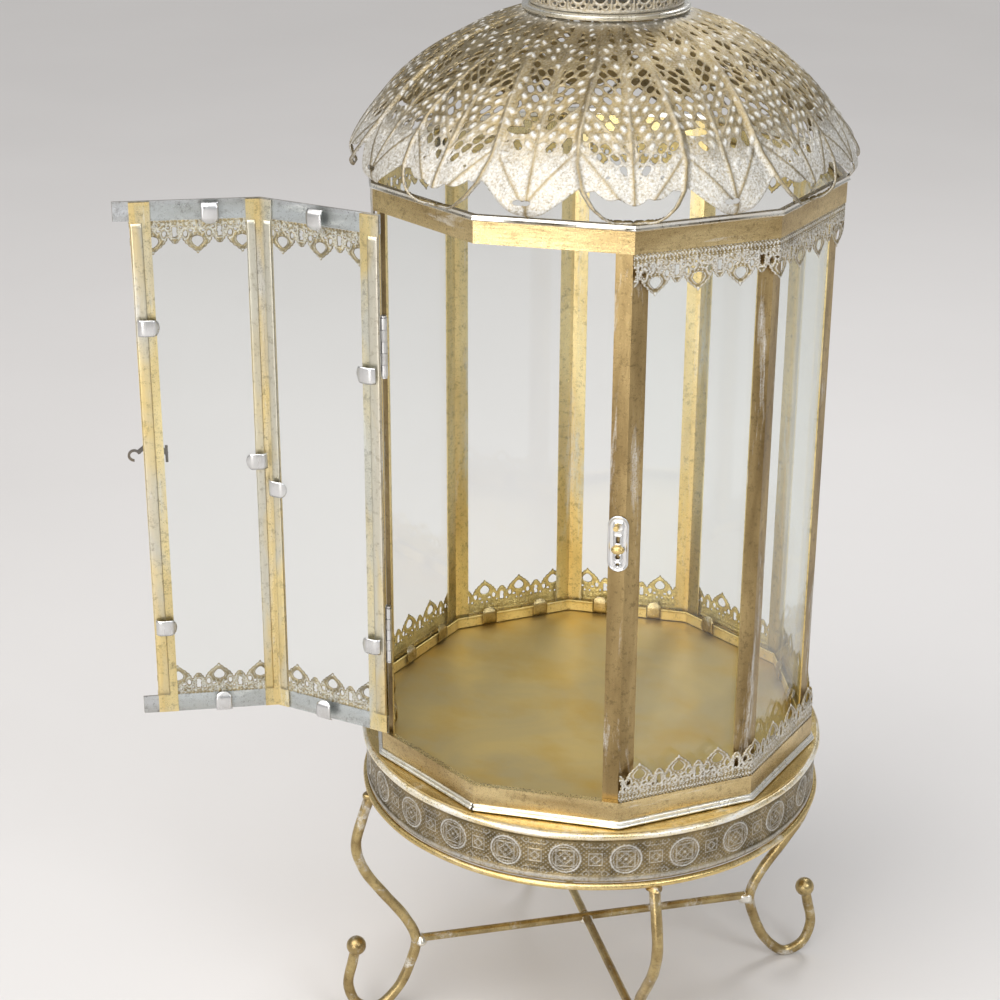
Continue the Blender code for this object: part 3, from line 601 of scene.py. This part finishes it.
class Leaves:
    """One sector of the dome: a looped leaf in its middle, over half a plain leaf on each side.

    a is the bearing from the looped leaf's midrib, and b from the plain one's, in degrees. Lengths are in mm.
    """

    CELL_LONG, CELL_WIDE, CELL_LEAN = 9.0, 5.7, 36
    RIM = 3.4

    def __init__(self, a, t):
        self.a, self.t = a, t
        self.b = np.where(a > 0, a - SECTOR_DEG / 2, a + SECTOR_DEG / 2)
        self.mm_per_deg = np.interp(t * MM, DOME_ARC, DOME_SIDE[:, 0]) / MM * math.pi / 180
        inside = (loop_width(t) - np.abs(a)) * self.mm_per_deg  # how far inside the looped leaf's outline
        self.inside = np.where(t < 12, np.minimum(inside, t * 0.9 + inside * 0.2), inside)
        self.looped = self.inside > 0
        self.across = np.where(self.looped, np.abs(a), np.abs(self.b)) * self.mm_per_deg
        self.above_edge = t - 1.5 - 25.0 * np.clip(np.abs(self.b) / 11.5, 0, 1.6) ** 1.35
        self.rise = np.clip(t / DOME_TALL, 0, 1)
        # Each half leaf has cells of its own.
        shift = np.where(self.looped, 0, 6.5) + np.where(a > 0, 0, 3.25)
        self.cell_x, self.cell_y, self.chance, self.size, self.row = lattice(
            self.across + shift, t, self.CELL_LEAN, self.CELL_LONG, self.CELL_WIDE, 5)

    def outline(self):
        """The leaves before they are pierced. A loop has a rim, an open crescent and a scalloped end."""
        scallop = 16.5 + 5.5 * np.clip(np.abs(self.a) / 7.5, 0, 1.5) ** 1.3
        scallop = scallop - 3.0 * np.abs(np.cos(self.a * math.pi / 5.6))
        rim = np.minimum(self.inside, self.RIM - self.inside)
        loop = np.maximum(np.minimum(self.inside, (self.t - scallop) * 0.8), rim)
        plain = np.maximum(self.above_edge * 0.75, np.minimum(1.0, self.inside + 0.01))
        solid = np.where(self.looped, loop, plain)
        return np.where(self.t > 30, np.maximum(solid, 1.0), solid)

    def pierce(self, solid):
        """Cuts some of the cells and three long slots in each plain leaf. Also says which cells are cut."""
        hole = soft_box(self.cell_x, self.cell_y, 3.7 - self.rise + 0.6 * self.size,
                        2.15 - 0.4 * self.rise + 0.4 * self.size)
        start = np.where(self.looped, 22, 40)
        share = np.where(self.looped, 0.46, 0.34) * np.clip((self.t - start) / 14, 0, 1)
        clear = (self.across > 3.0) & (np.abs(self.inside) > self.RIM) & (self.t < DOME_TALL - 6)
        pierced = (self.chance < share) & clear
        solid = np.where(pierced, np.minimum(solid, hole), solid)
        beside = self.b * self.mm_per_deg
        for x, y, half_x, half_y in ((-3, 13, 6.0, 1.7), (-14, 60, 7.5, 2.8), (19, 52, 2.4, 5.5)):
            slot = soft_box(beside - x, self.t - y, half_x, half_y)
            solid = np.where(self.looped, solid, np.minimum(solid, slot))
        return solid, pierced, 0.4 * bump(hole - 0.7, 0.6) * pierced

    def beads(self, pierced):
        """The raised cells."""
        bead = soft_box(self.cell_x, self.cell_y, 3.4 - 0.9 * self.rise, 2.0 - 0.4 * self.rise)
        bead = np.clip(-bead / 0.9, 0, 1) * ~pierced
        return bead * (self.chance > 0.46) * np.clip((self.t - 26) / 12, 0, 1)

    def stamp(self, solid):
        """Pierces the leaves, and gives the metal, height and wash."""
        solid, pierced, lips = self.pierce(solid)
        bead = self.beads(pierced)
        edge = np.abs(self.inside - 1.7)
        plain_rim = np.where(self.looped, 9, np.abs(self.above_edge * 0.6 - 1.1))
        vein = np.abs(self.row / 4 - np.round(self.row / 4)) * 4 * self.CELL_WIDE  # on every fourth row
        fade = np.clip((np.abs(self.inside) - 1.0) / 3, 0, 1)
        softer = 1 - 0.7 * np.clip((self.rise - 0.4) / 0.3, 0, 1)  # lines sink into the beading higher up
        ridges = np.maximum.reduce([
            1.4 * softer * bump(edge, 1.5), 0.9 * softer * bump(self.across, 1.3),
            0.7 * fade * bump(vein, 0.8), 0.7 * bump(plain_rim, 0.9), lips,
        ])
        away, lift = stippled(self.a * self.mm_per_deg, self.t, 2.1, 1.9, 23)
        stipple = dot(away, 1.0) * (0.5 + 0.5 * lift)
        height = np.maximum.reduce([ridges, 0.75 * bead, 0.3 * stipple])
        # The plain leaf lies behind the loops, and both bulge low down.
        height = height - np.where(self.looped, 0.0, 1.1 * np.clip(-self.inside / 2.0, 0, 1))
        height = height + 0.9 * bump(self.across - 12, 9.0) * (1 - self.rise)
        lines = [bump(edge, 1.4), bump(self.across, 1.1), fade * bump(vein, 0.9)]
        lines = softer * np.maximum.reduce(lines)
        low = np.clip((58 - self.t + 6 * ragged(self.a.shape, 3, 8)) / 26, 0, 1)
        white = low * (0.6 + 0.45 * stipple) + (1 - low) * np.maximum(0.95 * bead, 0.3 * stipple)
        white = np.maximum(white, 0.75 * np.clip((self.t - DOME_TALL + 16) / 16, 0, 1))
        return solid, height, np.clip(white * (1 - 0.95 * lines) + 0.25 * lines * (1 - low), 0, 1)


def add_dome():
    """Eight looped leaves over eight plain ones, stamped, pierced and brushed with white."""
    from_midrib = np.linspace(-SECTOR_DEG / 2, SECTOR_DEG / 2, 133)[:-1]
    rises = np.linspace(0, DOME_TALL, 160)
    leaves = Leaves(*np.meshgrid(from_midrib, rises))
    bearings = [from_midrib + LOOP_BEARING + SECTOR_DEG * k for k in range(DOME_SECTORS)]
    u, t = np.meshgrid(np.concatenate([*bearings, bearings[0][:1] + 360]), rises)
    fields = [np.hstack([np.tile(f, DOME_SECTORS), f[:, :1]]) for f in leaves.stamp(leaves.outline())]
    piece = sheet("pierced_dome", u, t, *fields, place_on_dome, "relief", ["dome"])
    # The dome's inner side takes the darker gold that is painted shade.
    settle(thicken(piece, 0.0009, "shade"))


NECK_TURNINGS = {  # node: (piece, material, wash, steps, points, (radius, height above the node's foot))
    "dome_collar": ("flared_collar", "bead", 0.3, 160, 26, [
        (0.05, 0.0002), (0.0548, 0.0006), (0.0559, 0.0014), (0.0556, 0.0021), (0.0544, 0.0024),
        (0.0556, 0.0029), (0.0552, 0.0036), (0.0535, 0.0042), (0.045, 0.0042)]),
    "neck_cap": ("domed_cap", "relief", 0.25, 120, 40, [
        (0.0535, 0), (0.0548, 0.0015), (0.0538, 0.0035), (0.0455, 0.011), (0.029, 0.0188),
        (0.0085, 0.0237)]),
    "finial": ("turned_finial", "bar", 0.2, 48, 60, [
        (0.006, 0), (0.006, 0.0015), (0.004, 0.0035), (0.005, 0.006), (0.0105, 0.011), (0.012, 0.0155),
        (0.0105, 0.02), (0.005, 0.0245), (0.0022, 0.0275), (0.0012, 0.0317)]),
}


def add_neck():
    for node, (name, material, wash, steps, count, side) in NECK_TURNINGS.items():
        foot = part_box(node)[0].z
        side = smooth_profile([(r, foot + rise) for r, rise in side], count)
        turned(name, side, steps, material, node, wash)


def add_gallery():
    """The pierced ring under the cap: rings, studs and scrolls between two rails."""
    low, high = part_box("neck_gallery")
    radius, tall = high.x - 0.0006, (high.z - low.z) / MM
    motifs, per_motif, rows = 22, 24, 44
    u, t = grid(0, 360, motifs * per_motif + 1, 0, tall, rows)
    pitch = math.tau * radius / MM / motifs
    x, y = np.abs((u / 360 * motifs) % 1 - 0.5) * pitch, t - tall / 2
    ring = np.hypot(x, y * 0.8) - 4.6
    scroll = np.hypot(x - 3.2, np.abs(y) - 6.6) - 2.0
    solid = np.maximum.reduce([
        1.0 - np.abs(ring), 0.9 - np.abs(x - pitch / 2), 0.8 - np.abs(scroll), np.abs(y) + 2.2 - tall / 2,
        1.3 - np.hypot(x, y),
    ])
    wash = np.clip(0.3 + 0.5 * ragged(u.shape, 8, 2) * (solid > 0.6), 0, 1)
    height = 0.7 * bump(solid - 0.8, 0.6)
    piece = sheet("pierced_gallery", u, t, solid, height, wash, ring_place(radius, low.z), "relief",
                  ["neck_gallery"])
    settle(thicken(piece, 0.0009, "inner"))


# Lace


def oval(x, y, at_x, at_y, stretch_x, stretch_y, radius):
    """Distance from an oval's edge, negative inside it."""
    return np.hypot((x - at_x) / stretch_x, (y - at_y) / stretch_y) - radius


def lace_fields(x, y, period):
    """Metal, height and wash of a lace strip, y mm up from its straight edge.

    A big arch stands in the middle of x, with half a small one at each end.
    """
    big, small = np.abs(x), period / 2 - np.abs(x)
    ogee = np.interp(y, [0, 13, 16.5, 20, 23, 25.5, 28.5], [20, 11.0, 10.4, 8.6, 5.6, 2.4, -0.6])
    crown = np.interp(y, [0, 13, 16, 18.5, 20.5, 21.5], [20, 5.0, 4.4, 3.2, 1.4, -1.5])
    drop = np.interp(y, [15.4, 16.6, 19.0, 21.3, 23.4], [0.0, 3.2, 4.0, 2.6, 0.0])
    outer_big = (ogee - big) * 0.85 + 0.35 * np.cos(y * math.tau / 2.3)
    outer_small = (crown - small) * 0.85 + 0.25 * np.cos(y * math.tau / 2.0)
    solid = np.minimum.reduce([
        np.maximum.reduce([outer_big, outer_small, 12.5 - y]),
        np.where((y > 15.4) & (y < 23.4), big - drop, 2.0), np.maximum(small - 1.5, np.abs(y - 12.6) - 3.4),
        oval(big, y, 7.9, 13.8, 1.0, 1.7, 1.35), oval(big, y, 4.2, 11.9, 1.4, 0.8, 0.95),
        oval(big, y, 2.0, 8.4, 0.9, 1.2, 0.75), oval(small, y, 4.2, 9.4, 0.8, 1.3, 0.8),
    ])
    x_on = x + 40 * period  # over 0, for the rows of pearls and flowers
    pearls = dot(np.hypot(x_on % 2.2 - 1.1, y - 2.2), 0.95)
    flowers = dot(np.hypot(x_on % (period / 6) - period / 12, y - 6.8), 1.7)
    tip = dot(np.hypot(big, y - 26.4), 1.6)
    hearts = bump(np.hypot(big - 3.4, y - 7.4) - 2.6, 0.6)
    scrolls = np.clip(np.sin(x * 2.3 + 1.3 * np.sin(y * 1.7)) * np.cos(y * 2.0) * 1.6, 0, 1) * (y < 16)
    height = np.maximum.reduce([0.7 * bump(solid - 0.9, 0.7), 0.9 * pearls, 0.7 * flowers, 0.9 * tip,
                                0.6 * hearts, 0.75 * scrolls])
    return solid, height, np.clip(1.5 * height - 0.25, 0, 1)


def add_lace(node, path, hanging, hidden, about, inside):
    """A lace strip along a path, standing on its straight edge or hanging from it, about so many mm a motif.

    hidden is how much of its plain edge, in mm, is left out where a rail covers it.
    """
    low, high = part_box(node)
    tall, step = 29.0 - hidden, 0.5
    length = sum((q - p).length for p, q in zip(path, path[1:])) / MM
    period = length / round(length / about)
    columns, rows = int(length / step) + 1, int(tall / step) + 1
    u, t = grid(0, 1, columns, 0, tall, rows)
    solid, height, wash = lace_fields((u * length) % period - period / 2, t + hidden, period)
    place = path_place(path, high.z, up=-1) if hanging else path_place(path, low.z)
    body = "door" if node.startswith("door") else "cabinet"
    piece = sheet(f"{node}_filigree", u, t, solid, height * 0.9, wash, place, "lace", [node], body)
    if hanging:
        piece.data.flip_normals()
    thicken(piece, 0.0007, inside)
    return settle(opened(piece) if body == "door" else piece)


def add_laces():
    cabinet_path = side_path(FIXED_CORNERS, reach("lace_top") - 0.0004, 0.0, 0.008)
    door_path = side_path(DOOR_CORNERS, POST_FACE + GAP, 0.0072, 0.0118)
    for row, hanging in (("top", True), ("bottom", False)):
        add_lace(f"lace_{row}", cabinet_path, hanging, 0.0, 30.0, "inner")
    for row, hanging in (("top", True), ("bottom", False)):
        add_lace(f"door_lace_{row}", door_path, hanging, 4.5, 31.0, "lace")


# Base


def add_foot_strip():
    """The bright edge that stands round the display floor, inside the panes, and holds their clips."""
    path = side_path(FIXED_CORNERS, PANE_INSIDE - 0.0002, 0.004, 0.01)
    u, t = grid(0, 1, 721, 0, 9.0, 15)
    height = 0.8 * bump(t - 8.2, 0.7) + 0.25 * ragged(u.shape, 12, 5)
    place = path_place(path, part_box("display_floor")[1].z + 0.0006, outwards=-1)
    piece = sheet("floor_edge_strip", u, t, np.ones(u.shape), height, 0 * u, place, "inner")
    settle(thicken(piece, 0.0003))


MEDALLION_BEARING = 23.6


def add_frieze():
    """The drum's stamped band: round medallions and small panels between two framing lines, on a roll."""
    low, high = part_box("drum_frieze_band")
    tall = (high.z - low.z) / MM
    motifs, per_motif, rows = 25, 72, 62
    u, t = grid(0, 360, motifs * per_motif + 1, 0, tall, rows)
    pitch = math.tau * high.x / MM / motifs
    x = (((u - MEDALLION_BEARING) / 360 * motifs + 0.5) % 1 - 0.5) * pitch
    y = t - 4.2 - (tall - 5.6) / 2
    up, edge = np.abs(y), pitch / 2 - np.abs(x)  # edge is the distance from the line between two medallions
    square, lozenge, disc = np.maximum(np.abs(x), up), np.abs(x) + up, np.hypot(x, y)
    between = edge < 6.5
    ridges = np.maximum.reduce([
        bump(disc - 10.8, 0.8), 0.8 * bump(disc - 9.0, 0.5), 0.8 * bump(square - 6.2, 0.6),
        0.9 * bump(lozenge - 5.0, 0.7), np.clip(1.2 - disc / 1.8, 0, 1),
        0.8 * bump(np.maximum(edge, up) - 4.6, 0.6) * between, 0.9 * bump(edge + up - 3.2, 0.7),
        0.7 * bump(up - 9.2, 0.5) * (edge < 6.2), 0.7 * bump(np.hypot(edge - 6.5, up - 11.5) - 2.2, 0.6),
    ]) * np.clip((13.6 - up) / 0.8, 0, 1)
    weave = np.clip(1.4 * np.cos(x * 1.9) * np.cos(y * 1.9), 0, 1) * (up < 13.0)
    petals = 0.5 * (1 + np.cos(8 * np.arctan2(y, x))) * (disc < 10.3) * (disc > 9.6)
    roll = half_round(t, 2.6, 2.4)
    frames = np.maximum(bump(t - 5.6, 0.5), bump(t - tall + 0.7, 0.7))
    height = np.maximum.reduce([ridges, 0.7 * petals, 0.6 * weave, 1.3 * roll, frames])
    rubbed = 0.2 + 1.2 * ragged(u.shape, 4, 3)
    wash = np.clip(1.5 * (np.maximum(ridges, 0.7 * weave) - 0.35) * rubbed + 0.9 * roll, 0, 1)
    piece = sheet("embossed_frieze", u, t, np.ones(u.shape), height * 0.8, wash,
                  ring_place(high.x - 0.0008, low.z), "frieze", ["drum_frieze_band"])
    settle(thicken(piece, 0.0009, "inner"))


def half_round(t, middle, radius):
    """A roll's outline: 1 at its middle and 0 from its radius on."""
    return np.sqrt(np.clip(1 - ((t - middle) / radius) ** 2, 0, 1))


def add_hoop(name, node, material):
    """A round wire hoop, a little out of true, in place of a faceted one."""
    low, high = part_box(node)
    wire, wave = (high.z - low.z) / 2 + 0.0001, 0.0002
    sides, steps = 16, 360
    turn = np.linspace(0, math.tau, sides, endpoint=False)
    bearing = np.linspace(0, math.tau, steps, endpoint=False)[:, None]
    r = high.x - wire + wire * np.cos(turn) + wave * (np.sin(bearing * 7) + 0.6 * np.sin(bearing * 17 + 1))
    points = around(np.degrees(bearing), r, (low.z + high.z) / 2 + wire * np.sin(turn)).reshape(-1, 3)
    index = np.arange(len(points)).reshape(steps, sides)
    across, along = np.roll(index, -1, axis=1), np.roll(index, -1, axis=0)
    faces = np.stack([index, along, np.roll(along, -1, axis=1), across], -1).reshape(-1, 4)
    settle(add_piece(name, points, faces, material, nodes=[node]))


def add_foot_bead():
    """The pale double roll round the plinth's foot."""
    path = side_path([STEP_DEG * i for i in range(SIDES + 1)], reach("plinth_band"))
    u, t = grid(0, 1, SIDES * 72 + 1, 0, 5.4, 28)
    rolls = np.maximum(2.6 * half_round(t, 1.5, 1.5), 1.5 * half_round(t, 4.1, 1.2))
    height = rolls + 0.12 * ragged(u.shape, 17, 3)
    place = path_place(path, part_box("plinth_foot_bead")[0].z)
    piece = sheet("plinth_foot_rolls", u, t, np.ones(u.shape), height, 0 * u, place, "bead",
                  ["plinth_foot_bead"])
    settle(thicken(piece, 0.0002))


LEG_ROUTE = [  # (distance from the axis, height) down the leg
    (0.168, -0.0592), (0.1745, -0.078), (0.18, -0.102), (0.174, -0.124), (0.16, -0.146),
    (0.144, -0.169), (0.1352, -0.1905), (0.14, -0.212), (0.15, -0.233), (0.166, -0.2475),
    (0.182, -0.242), (0.1885, -0.224), (0.185, -0.205), (0.183, -0.196),
]
LEG_BEARINGS = {"front_left": -45, "front_right": 45, "back_right": 135, "back_left": -135}
LEG_WIRE_R = 0.004
LEG_BALL_R = 0.0075
BALL_STEPS = 16


def add_legs():
    flat = smooth_profile(LEG_ROUTE, 90)
    waist_r, waist_z = flat[int(np.argmin(flat[:, 0]))]
    for place, bearing in LEG_BEARINGS.items():
        node = f"leg_{place}"
        route = [polar(bearing, r, z) for r, z in flat]
        radii = [LEG_WIRE_R * (1 + 0.02 * math.sin(i * 0.9)) for i in range(len(route))]
        end, ahead = route[-1], (route[-1] - route[-3]).normalized()
        for k in range(1, BALL_STEPS):
            angle = math.pi * k / BALL_STEPS
            route.append(end + ahead * LEG_BALL_R * (0.85 - math.cos(angle)))
            radii.append(LEG_BALL_R * math.sin(angle))
        tube(f"{node}_bar", route, radii, 20, "bar", node)
        weld = polar(bearing, waist_r - LEG_WIRE_R * 0.9, waist_z)
        add_solder(f"{node}_weld", weld, (0.0056, 0.0056, 0.005), "bead", 5 + bearing)
        top = polar(bearing, 0.1685, -0.0598)
        add_solder(f"{node}_top_weld", top, (0.0056, 0.0056, 0.0026), "bar", 9 + bearing)
    add_solder("stretcher_weld", (0, 0, waist_z), (0.0062, 0.005, 0.0044), "bead", 2)


def add_solder(name, centre, radii, material, seed):
    """A lump of solder: a squashed ball with an uneven skin."""
    rows, columns = 14, 22
    fall = np.linspace(math.pi, 0, rows)[:, None]  # the angle down from the top
    turn = np.linspace(0, math.tau, columns, endpoint=False)[None, :]
    ripple = 1 + 0.1 * np.sin(3 * turn + seed) * np.sin(fall) + 0.07 * np.cos(5 * fall + seed)
    ball = np.stack([np.sin(fall) * np.cos(turn), np.sin(fall) * np.sin(turn), np.cos(fall) + 0 * turn], -1)
    points = (np.array(centre) + ball * ripple[..., None] * radii).reshape(-1, 3)
    settle(add_piece(name, points, closed_faces(rows, columns), material, wash=0.3))


# Clips and latch


def add_clip(name, origin, along, out, body, material):
    """A spring clip: a strip with a round end that stands off the frame, folds down and lies on the glass.

    It points along, from the frame's edge at origin, with its face towards out.
    """
    half_wide, columns, narrowest = 0.0058, 9, 0.0012
    spine = smooth_profile([(-0.007, 0.0004), (-0.0052, 0.0022), (-0.003, 0.003), (0.001, 0.003),
                            (0.0042, 0.0026), (0.0066, 0.0012), (0.0078, 0.0004)], 26)
    sideways = out.cross(along)
    points = []
    for i, (ahead, lift) in enumerate(spine):
        past = max(0.0, i / (len(spine) - 1) - 0.72) / 0.28  # into the round end, from 0 to 1
        half = max(half_wide * math.sqrt(max(0.0, 1 - past**2)), narrowest)
        for side in np.linspace(-1, 1, columns):
            sag = 0.0003 * (1 - side * side)
            points.append(origin + sideways * (side * half) + along * ahead + out * (lift + sag))
    faces = grid_faces(len(spine), columns)[:, ::-1]
    piece = thicken(add_piece(name, points, faces, material, body), 0.0006)
    settle(opened(piece) if body == "door" else piece)


def add_clips():
    """Clips inside each fixed side's foot, and all round the inside of the door's two panes."""
    inner = PANE_INSIDE - 0.0002
    for i in range(1, SIDES - 1):
        normal = STEP_DEG * (i + 0.5)
        outwards = side_axes(normal)[1]
        for k, offset in ((1, -0.022), (2, 0.022)):
            origin = on_side(normal, offset, inner, 0.0075)
            add_clip(f"pane_clip_{i}_{k}", origin, UP, -outwards, "cabinet", "brass")
    low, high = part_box("door_bottom_rail")[0].z + 0.008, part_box("door_top_rail")[1].z - 0.008
    spots = [  # (side, along, height, whether it points along the side or up, and which way)
        (-18, 0.003, high, 1, -1), (18, -0.016, high, 1, -1),
        (-18, 0.007, low, 1, 1), (18, -0.0095, low, 1, 1),
        (-18, -0.034, 0.281, 0, 1), (-18, -0.034, 0.079, 0, 1), (-18, 0.041, 0.184, 0, -1),
        (18, 0.029, 0.3045, 0, -1), (18, 0.029, 0.0795, 0, -1), (18, -0.041, 0.204, 0, 1),
    ]
    for k, (normal, offset, z, upright, way) in enumerate(spots, 1):
        along, outwards = side_axes(normal)
        pointing = (UP if upright else along) * way
        add_clip(f"door_clip_{k}", on_side(normal, offset, inner, z), pointing, -outwards, "door", "steel")


def add_door_lips():
    """The folded edges of the door's channels, on the inner faces of its stiles."""
    low, high = 24.0, 376.5
    spots = [(-18, -0.0386, 8), (-18, 0.0432, 6), (18, -0.0432, 6), (18, 0.033, 8)]  # (side, along, mm wide)
    for k, (normal, middle, width) in enumerate(spots):
        u, t = grid(-width / 2, width / 2, 13, low, high, 90)
        crown = half_round(u, 0, width / 2)
        height = 0.55 * crown**0.3 + 0.25 * (ragged(u.shape, 30 + k, 4) - 0.5) * crown
        place = side_place(normal, middle, POST_FACE - SHEET - GAP, 0.0, -1)
        piece = sheet(f"door_lip_{k + 1}", u, t, np.ones(u.shape), height, 0.35 + 0 * u, place, "lip",
                      body="door")
        piece.data.flip_normals()
        settle(opened(thicken(piece, 0.0003)))


LATCH_SIDE = 18


def add_keeper():
    """The keeper plate: round ends, a raised middle, a stamped ring, a slot and two holes."""
    low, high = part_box("latch_plate")
    wide, tall = 7.0, 19.7  # half of each, in mm
    u, t = grid(-wide, wide, 49, -tall, tall, 133)
    solid = np.minimum.reduce([
        wide - np.hypot(u, np.maximum(np.abs(t) - (tall - wide), 0)),
        np.maximum(np.abs(u) - 1.1, np.abs(t - 3.0) - 2.2),
        np.hypot(u, t + 9.0) - 1.5, np.hypot(u, t + 14.6) - 1.2,
    ])
    raised = 0.25 * (1 - np.tanh((np.abs(u) - 2.9) / 0.35)) * (1 - np.tanh((np.abs(t) - 15.5) / 0.5))
    height = 0.9 * raised + 0.8 * bump(solid - 0.7, 0.6) + 0.5 * bump(np.hypot(u, t - 12.0) - 3.2, 0.5)
    place = side_place(LATCH_SIDE, 0.0449, POST_FACE + 0.0007, (low.z + high.z) / 2, 1)
    piece = sheet("keeper_plate", u, t, solid, height, 0 * u, place, "steel", ["latch_plate"])
    settle(thicken(piece, 0.0007, "inner"))


def add_knob():
    """The keeper's knob: a wide rounded button."""
    low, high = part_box("latch_knob")
    along, outwards = side_axes(LATCH_SIDE)
    base = (low + high) / 2 - outwards * 0.0013
    rows, columns = 16, 28
    fall = np.linspace(math.pi / 2, 0, rows)
    turn = np.linspace(0, math.tau, columns, endpoint=False)
    points = []
    for f in fall:
        spread, lift = math.sin(f) ** 0.7, 0.003 * math.cos(f)
        for a in turn:
            ring = along * (0.0045 * math.cos(a)) + UP * (0.0031 * math.sin(a))
            points.append(base + ring * spread + outwards * lift)
    faces = closed_faces(rows, columns, first=True)
    settle(add_piece("keeper_knob", points, faces, "ledge", nodes=["latch_knob"], wash=0.5))


# CAD nodes that keep their shape


def dress():
    """Materials of the CAD nodes that show as they are."""
    wanted = {
        "post": ["latch_post", "hinge_post"] + [f"corner_post_{i}" for i in range(1, 8)],
        "stile": ["door_hinge_stile", "door_latch_stile", "door_middle_stile"],
        "band": ["top_band", "plinth_band"],
        "ledge": ["drum_top_plate", "latch_peg"],
        "bar": ["stretcher_long_bar", "stretcher_front_bar", "stretcher_back_bar"],
        "bead": ["top_band_bead"],
        "rail": ["door_top_rail", "door_bottom_rail"],
        "steel": [f"{a}_hinge_{b}" for a in ("upper", "lower") for b in ("post_leaf", "door_leaf", "pin")],
        "dark_steel": ["latch_hook", "hook_rivet"],
        "floor": ["display_floor"],
        "glass": [f"glass_pane_{i}" for i in range(1, 9)] + ["door_pane_1", "door_pane_2"],
    }
    for material, nodes in wanted.items():
        for name in nodes:
            mesh = NODES[name].data
            mesh.materials.clear()
            mesh.materials.append(MATERIALS[material])


# Studio

AZIMUTH, ELEVATION, ROLL = (math.radians(degrees) for degrees in (31.47, 22.66, 0.266))
DISTANCE, ASIDE, HEIGHT = 1.5763, -0.0684, 0.1615  # from the cabinet's axis, and of the line of sight there
LENS = 78.84


def add_camera():
    """The camera stands where the photograph's did, a little rolled."""
    back = Vector((math.sin(AZIMUTH) * math.cos(ELEVATION), -math.cos(AZIMUTH) * math.cos(ELEVATION),
                   math.sin(ELEVATION)))
    right = Vector((math.cos(AZIMUTH), math.sin(AZIMUTH), 0))
    up = back.cross(right)
    place = Vector((0, 0, HEIGHT)) + back * DISTANCE + right * ASIDE
    turned_right = right * math.cos(ROLL) + up * math.sin(ROLL)
    turned_up = up * math.cos(ROLL) - right * math.sin(ROLL)
    data = bpy.data.cameras.new("camera")
    data.lens = LENS
    data.sensor_width = 36
    camera = add_object("camera", data)
    axes = Matrix((turned_right, turned_up, back)).transposed().to_4x4()
    camera.matrix_world = Matrix.Translation(place) @ axes
    bpy.context.scene.camera = camera


def add_studio():
    """A flat pale floor, soft lamps set round the camera's azimuth, and a grey sky."""
    low = START_BOUNDS[0][2]
    shader = Shader("studio_paper", "stage")
    shader.finish(shader.mix(shader.noise(3, 3, 0.5), (0.66, 0.64, 0.625), (0.7, 0.68, 0.665)), 0.9, 0.0)
    radii = np.array([9.0, 6.0, 3.5, 1.8, 0.9, 0.4, 0.0])[:, None]
    bearings = np.arange(0, 360, 5)
    points = around(bearings, radii, low).reshape(-1, 3)
    mesh = bpy.data.meshes.new("studio_floor")
    mesh.from_pydata(points.tolist(), [], closed_faces(len(radii), len(bearings)))
    mesh.validate()
    mesh.materials.append(shader.material)
    add_object("studio_floor", mesh)
    lamps = [  # (kind, azimuth from the camera, elevation, size, watts, colour)
        ("AREA", -48, 42, 1.9, 17, (1.0, 0.97, 0.93)), ("AREA", -27, 2, 0.8, 12, (1.0, 0.98, 0.95)),
        ("AREA", 38, 30, 0.8, 14, (0.93, 0.96, 1.0)), ("AREA", -8, 66, 1.4, 9, (1.0, 1.0, 1.0)),
        ("AREA", 150, 50, 0.7, 14, (0.95, 0.97, 1.0)), ("SUN", -40, 52, 1.0, 1.5, (1.0, 0.98, 0.96)),
    ]
    middle = Vector((0, 0, 0.2))
    for k, (kind, turn, lift, size, watts, colour) in enumerate(lamps):
        a, e = AZIMUTH + math.radians(turn), math.radians(lift)
        place = middle + Vector((math.sin(a) * math.cos(e), -math.cos(a) * math.cos(e), math.sin(e))) * 2.3
        data = bpy.data.lights.new(f"lamp_{k}", kind)
        if kind == "AREA":
            data.size = size
        else:
            data.angle = size
        data.energy = watts
        data.color = colour
        lamp = add_object(f"lamp_{k}", data)
        facing = (place - middle).to_track_quat("Z", "Y").to_matrix().to_4x4()
        lamp.matrix_world = Matrix.Translation(place) @ facing
    world = bpy.data.worlds.new("studio")
    world.use_nodes = True
    background = world.node_tree.nodes["Background"]
    background.inputs["Color"].default_value = (0.86, 0.87, 0.89, 1.0)
    background.inputs["Strength"].default_value = 0.42
    bpy.context.scene.world = world
    bpy.context.scene.view_settings.view_transform = "Standard"


add_dome()
add_neck()
add_gallery()
add_laces()
add_foot_strip()
add_frieze()
add_foot_bead()
add_hoop("drum_top_hoop", "drum_top_rim", "cream")
add_hoop("drum_bottom_hoop", "drum_bottom_rim", "ledge")
add_legs()
add_clips()
add_door_lips()
add_keeper()
add_knob()
dress()
add_camera()
add_studio()
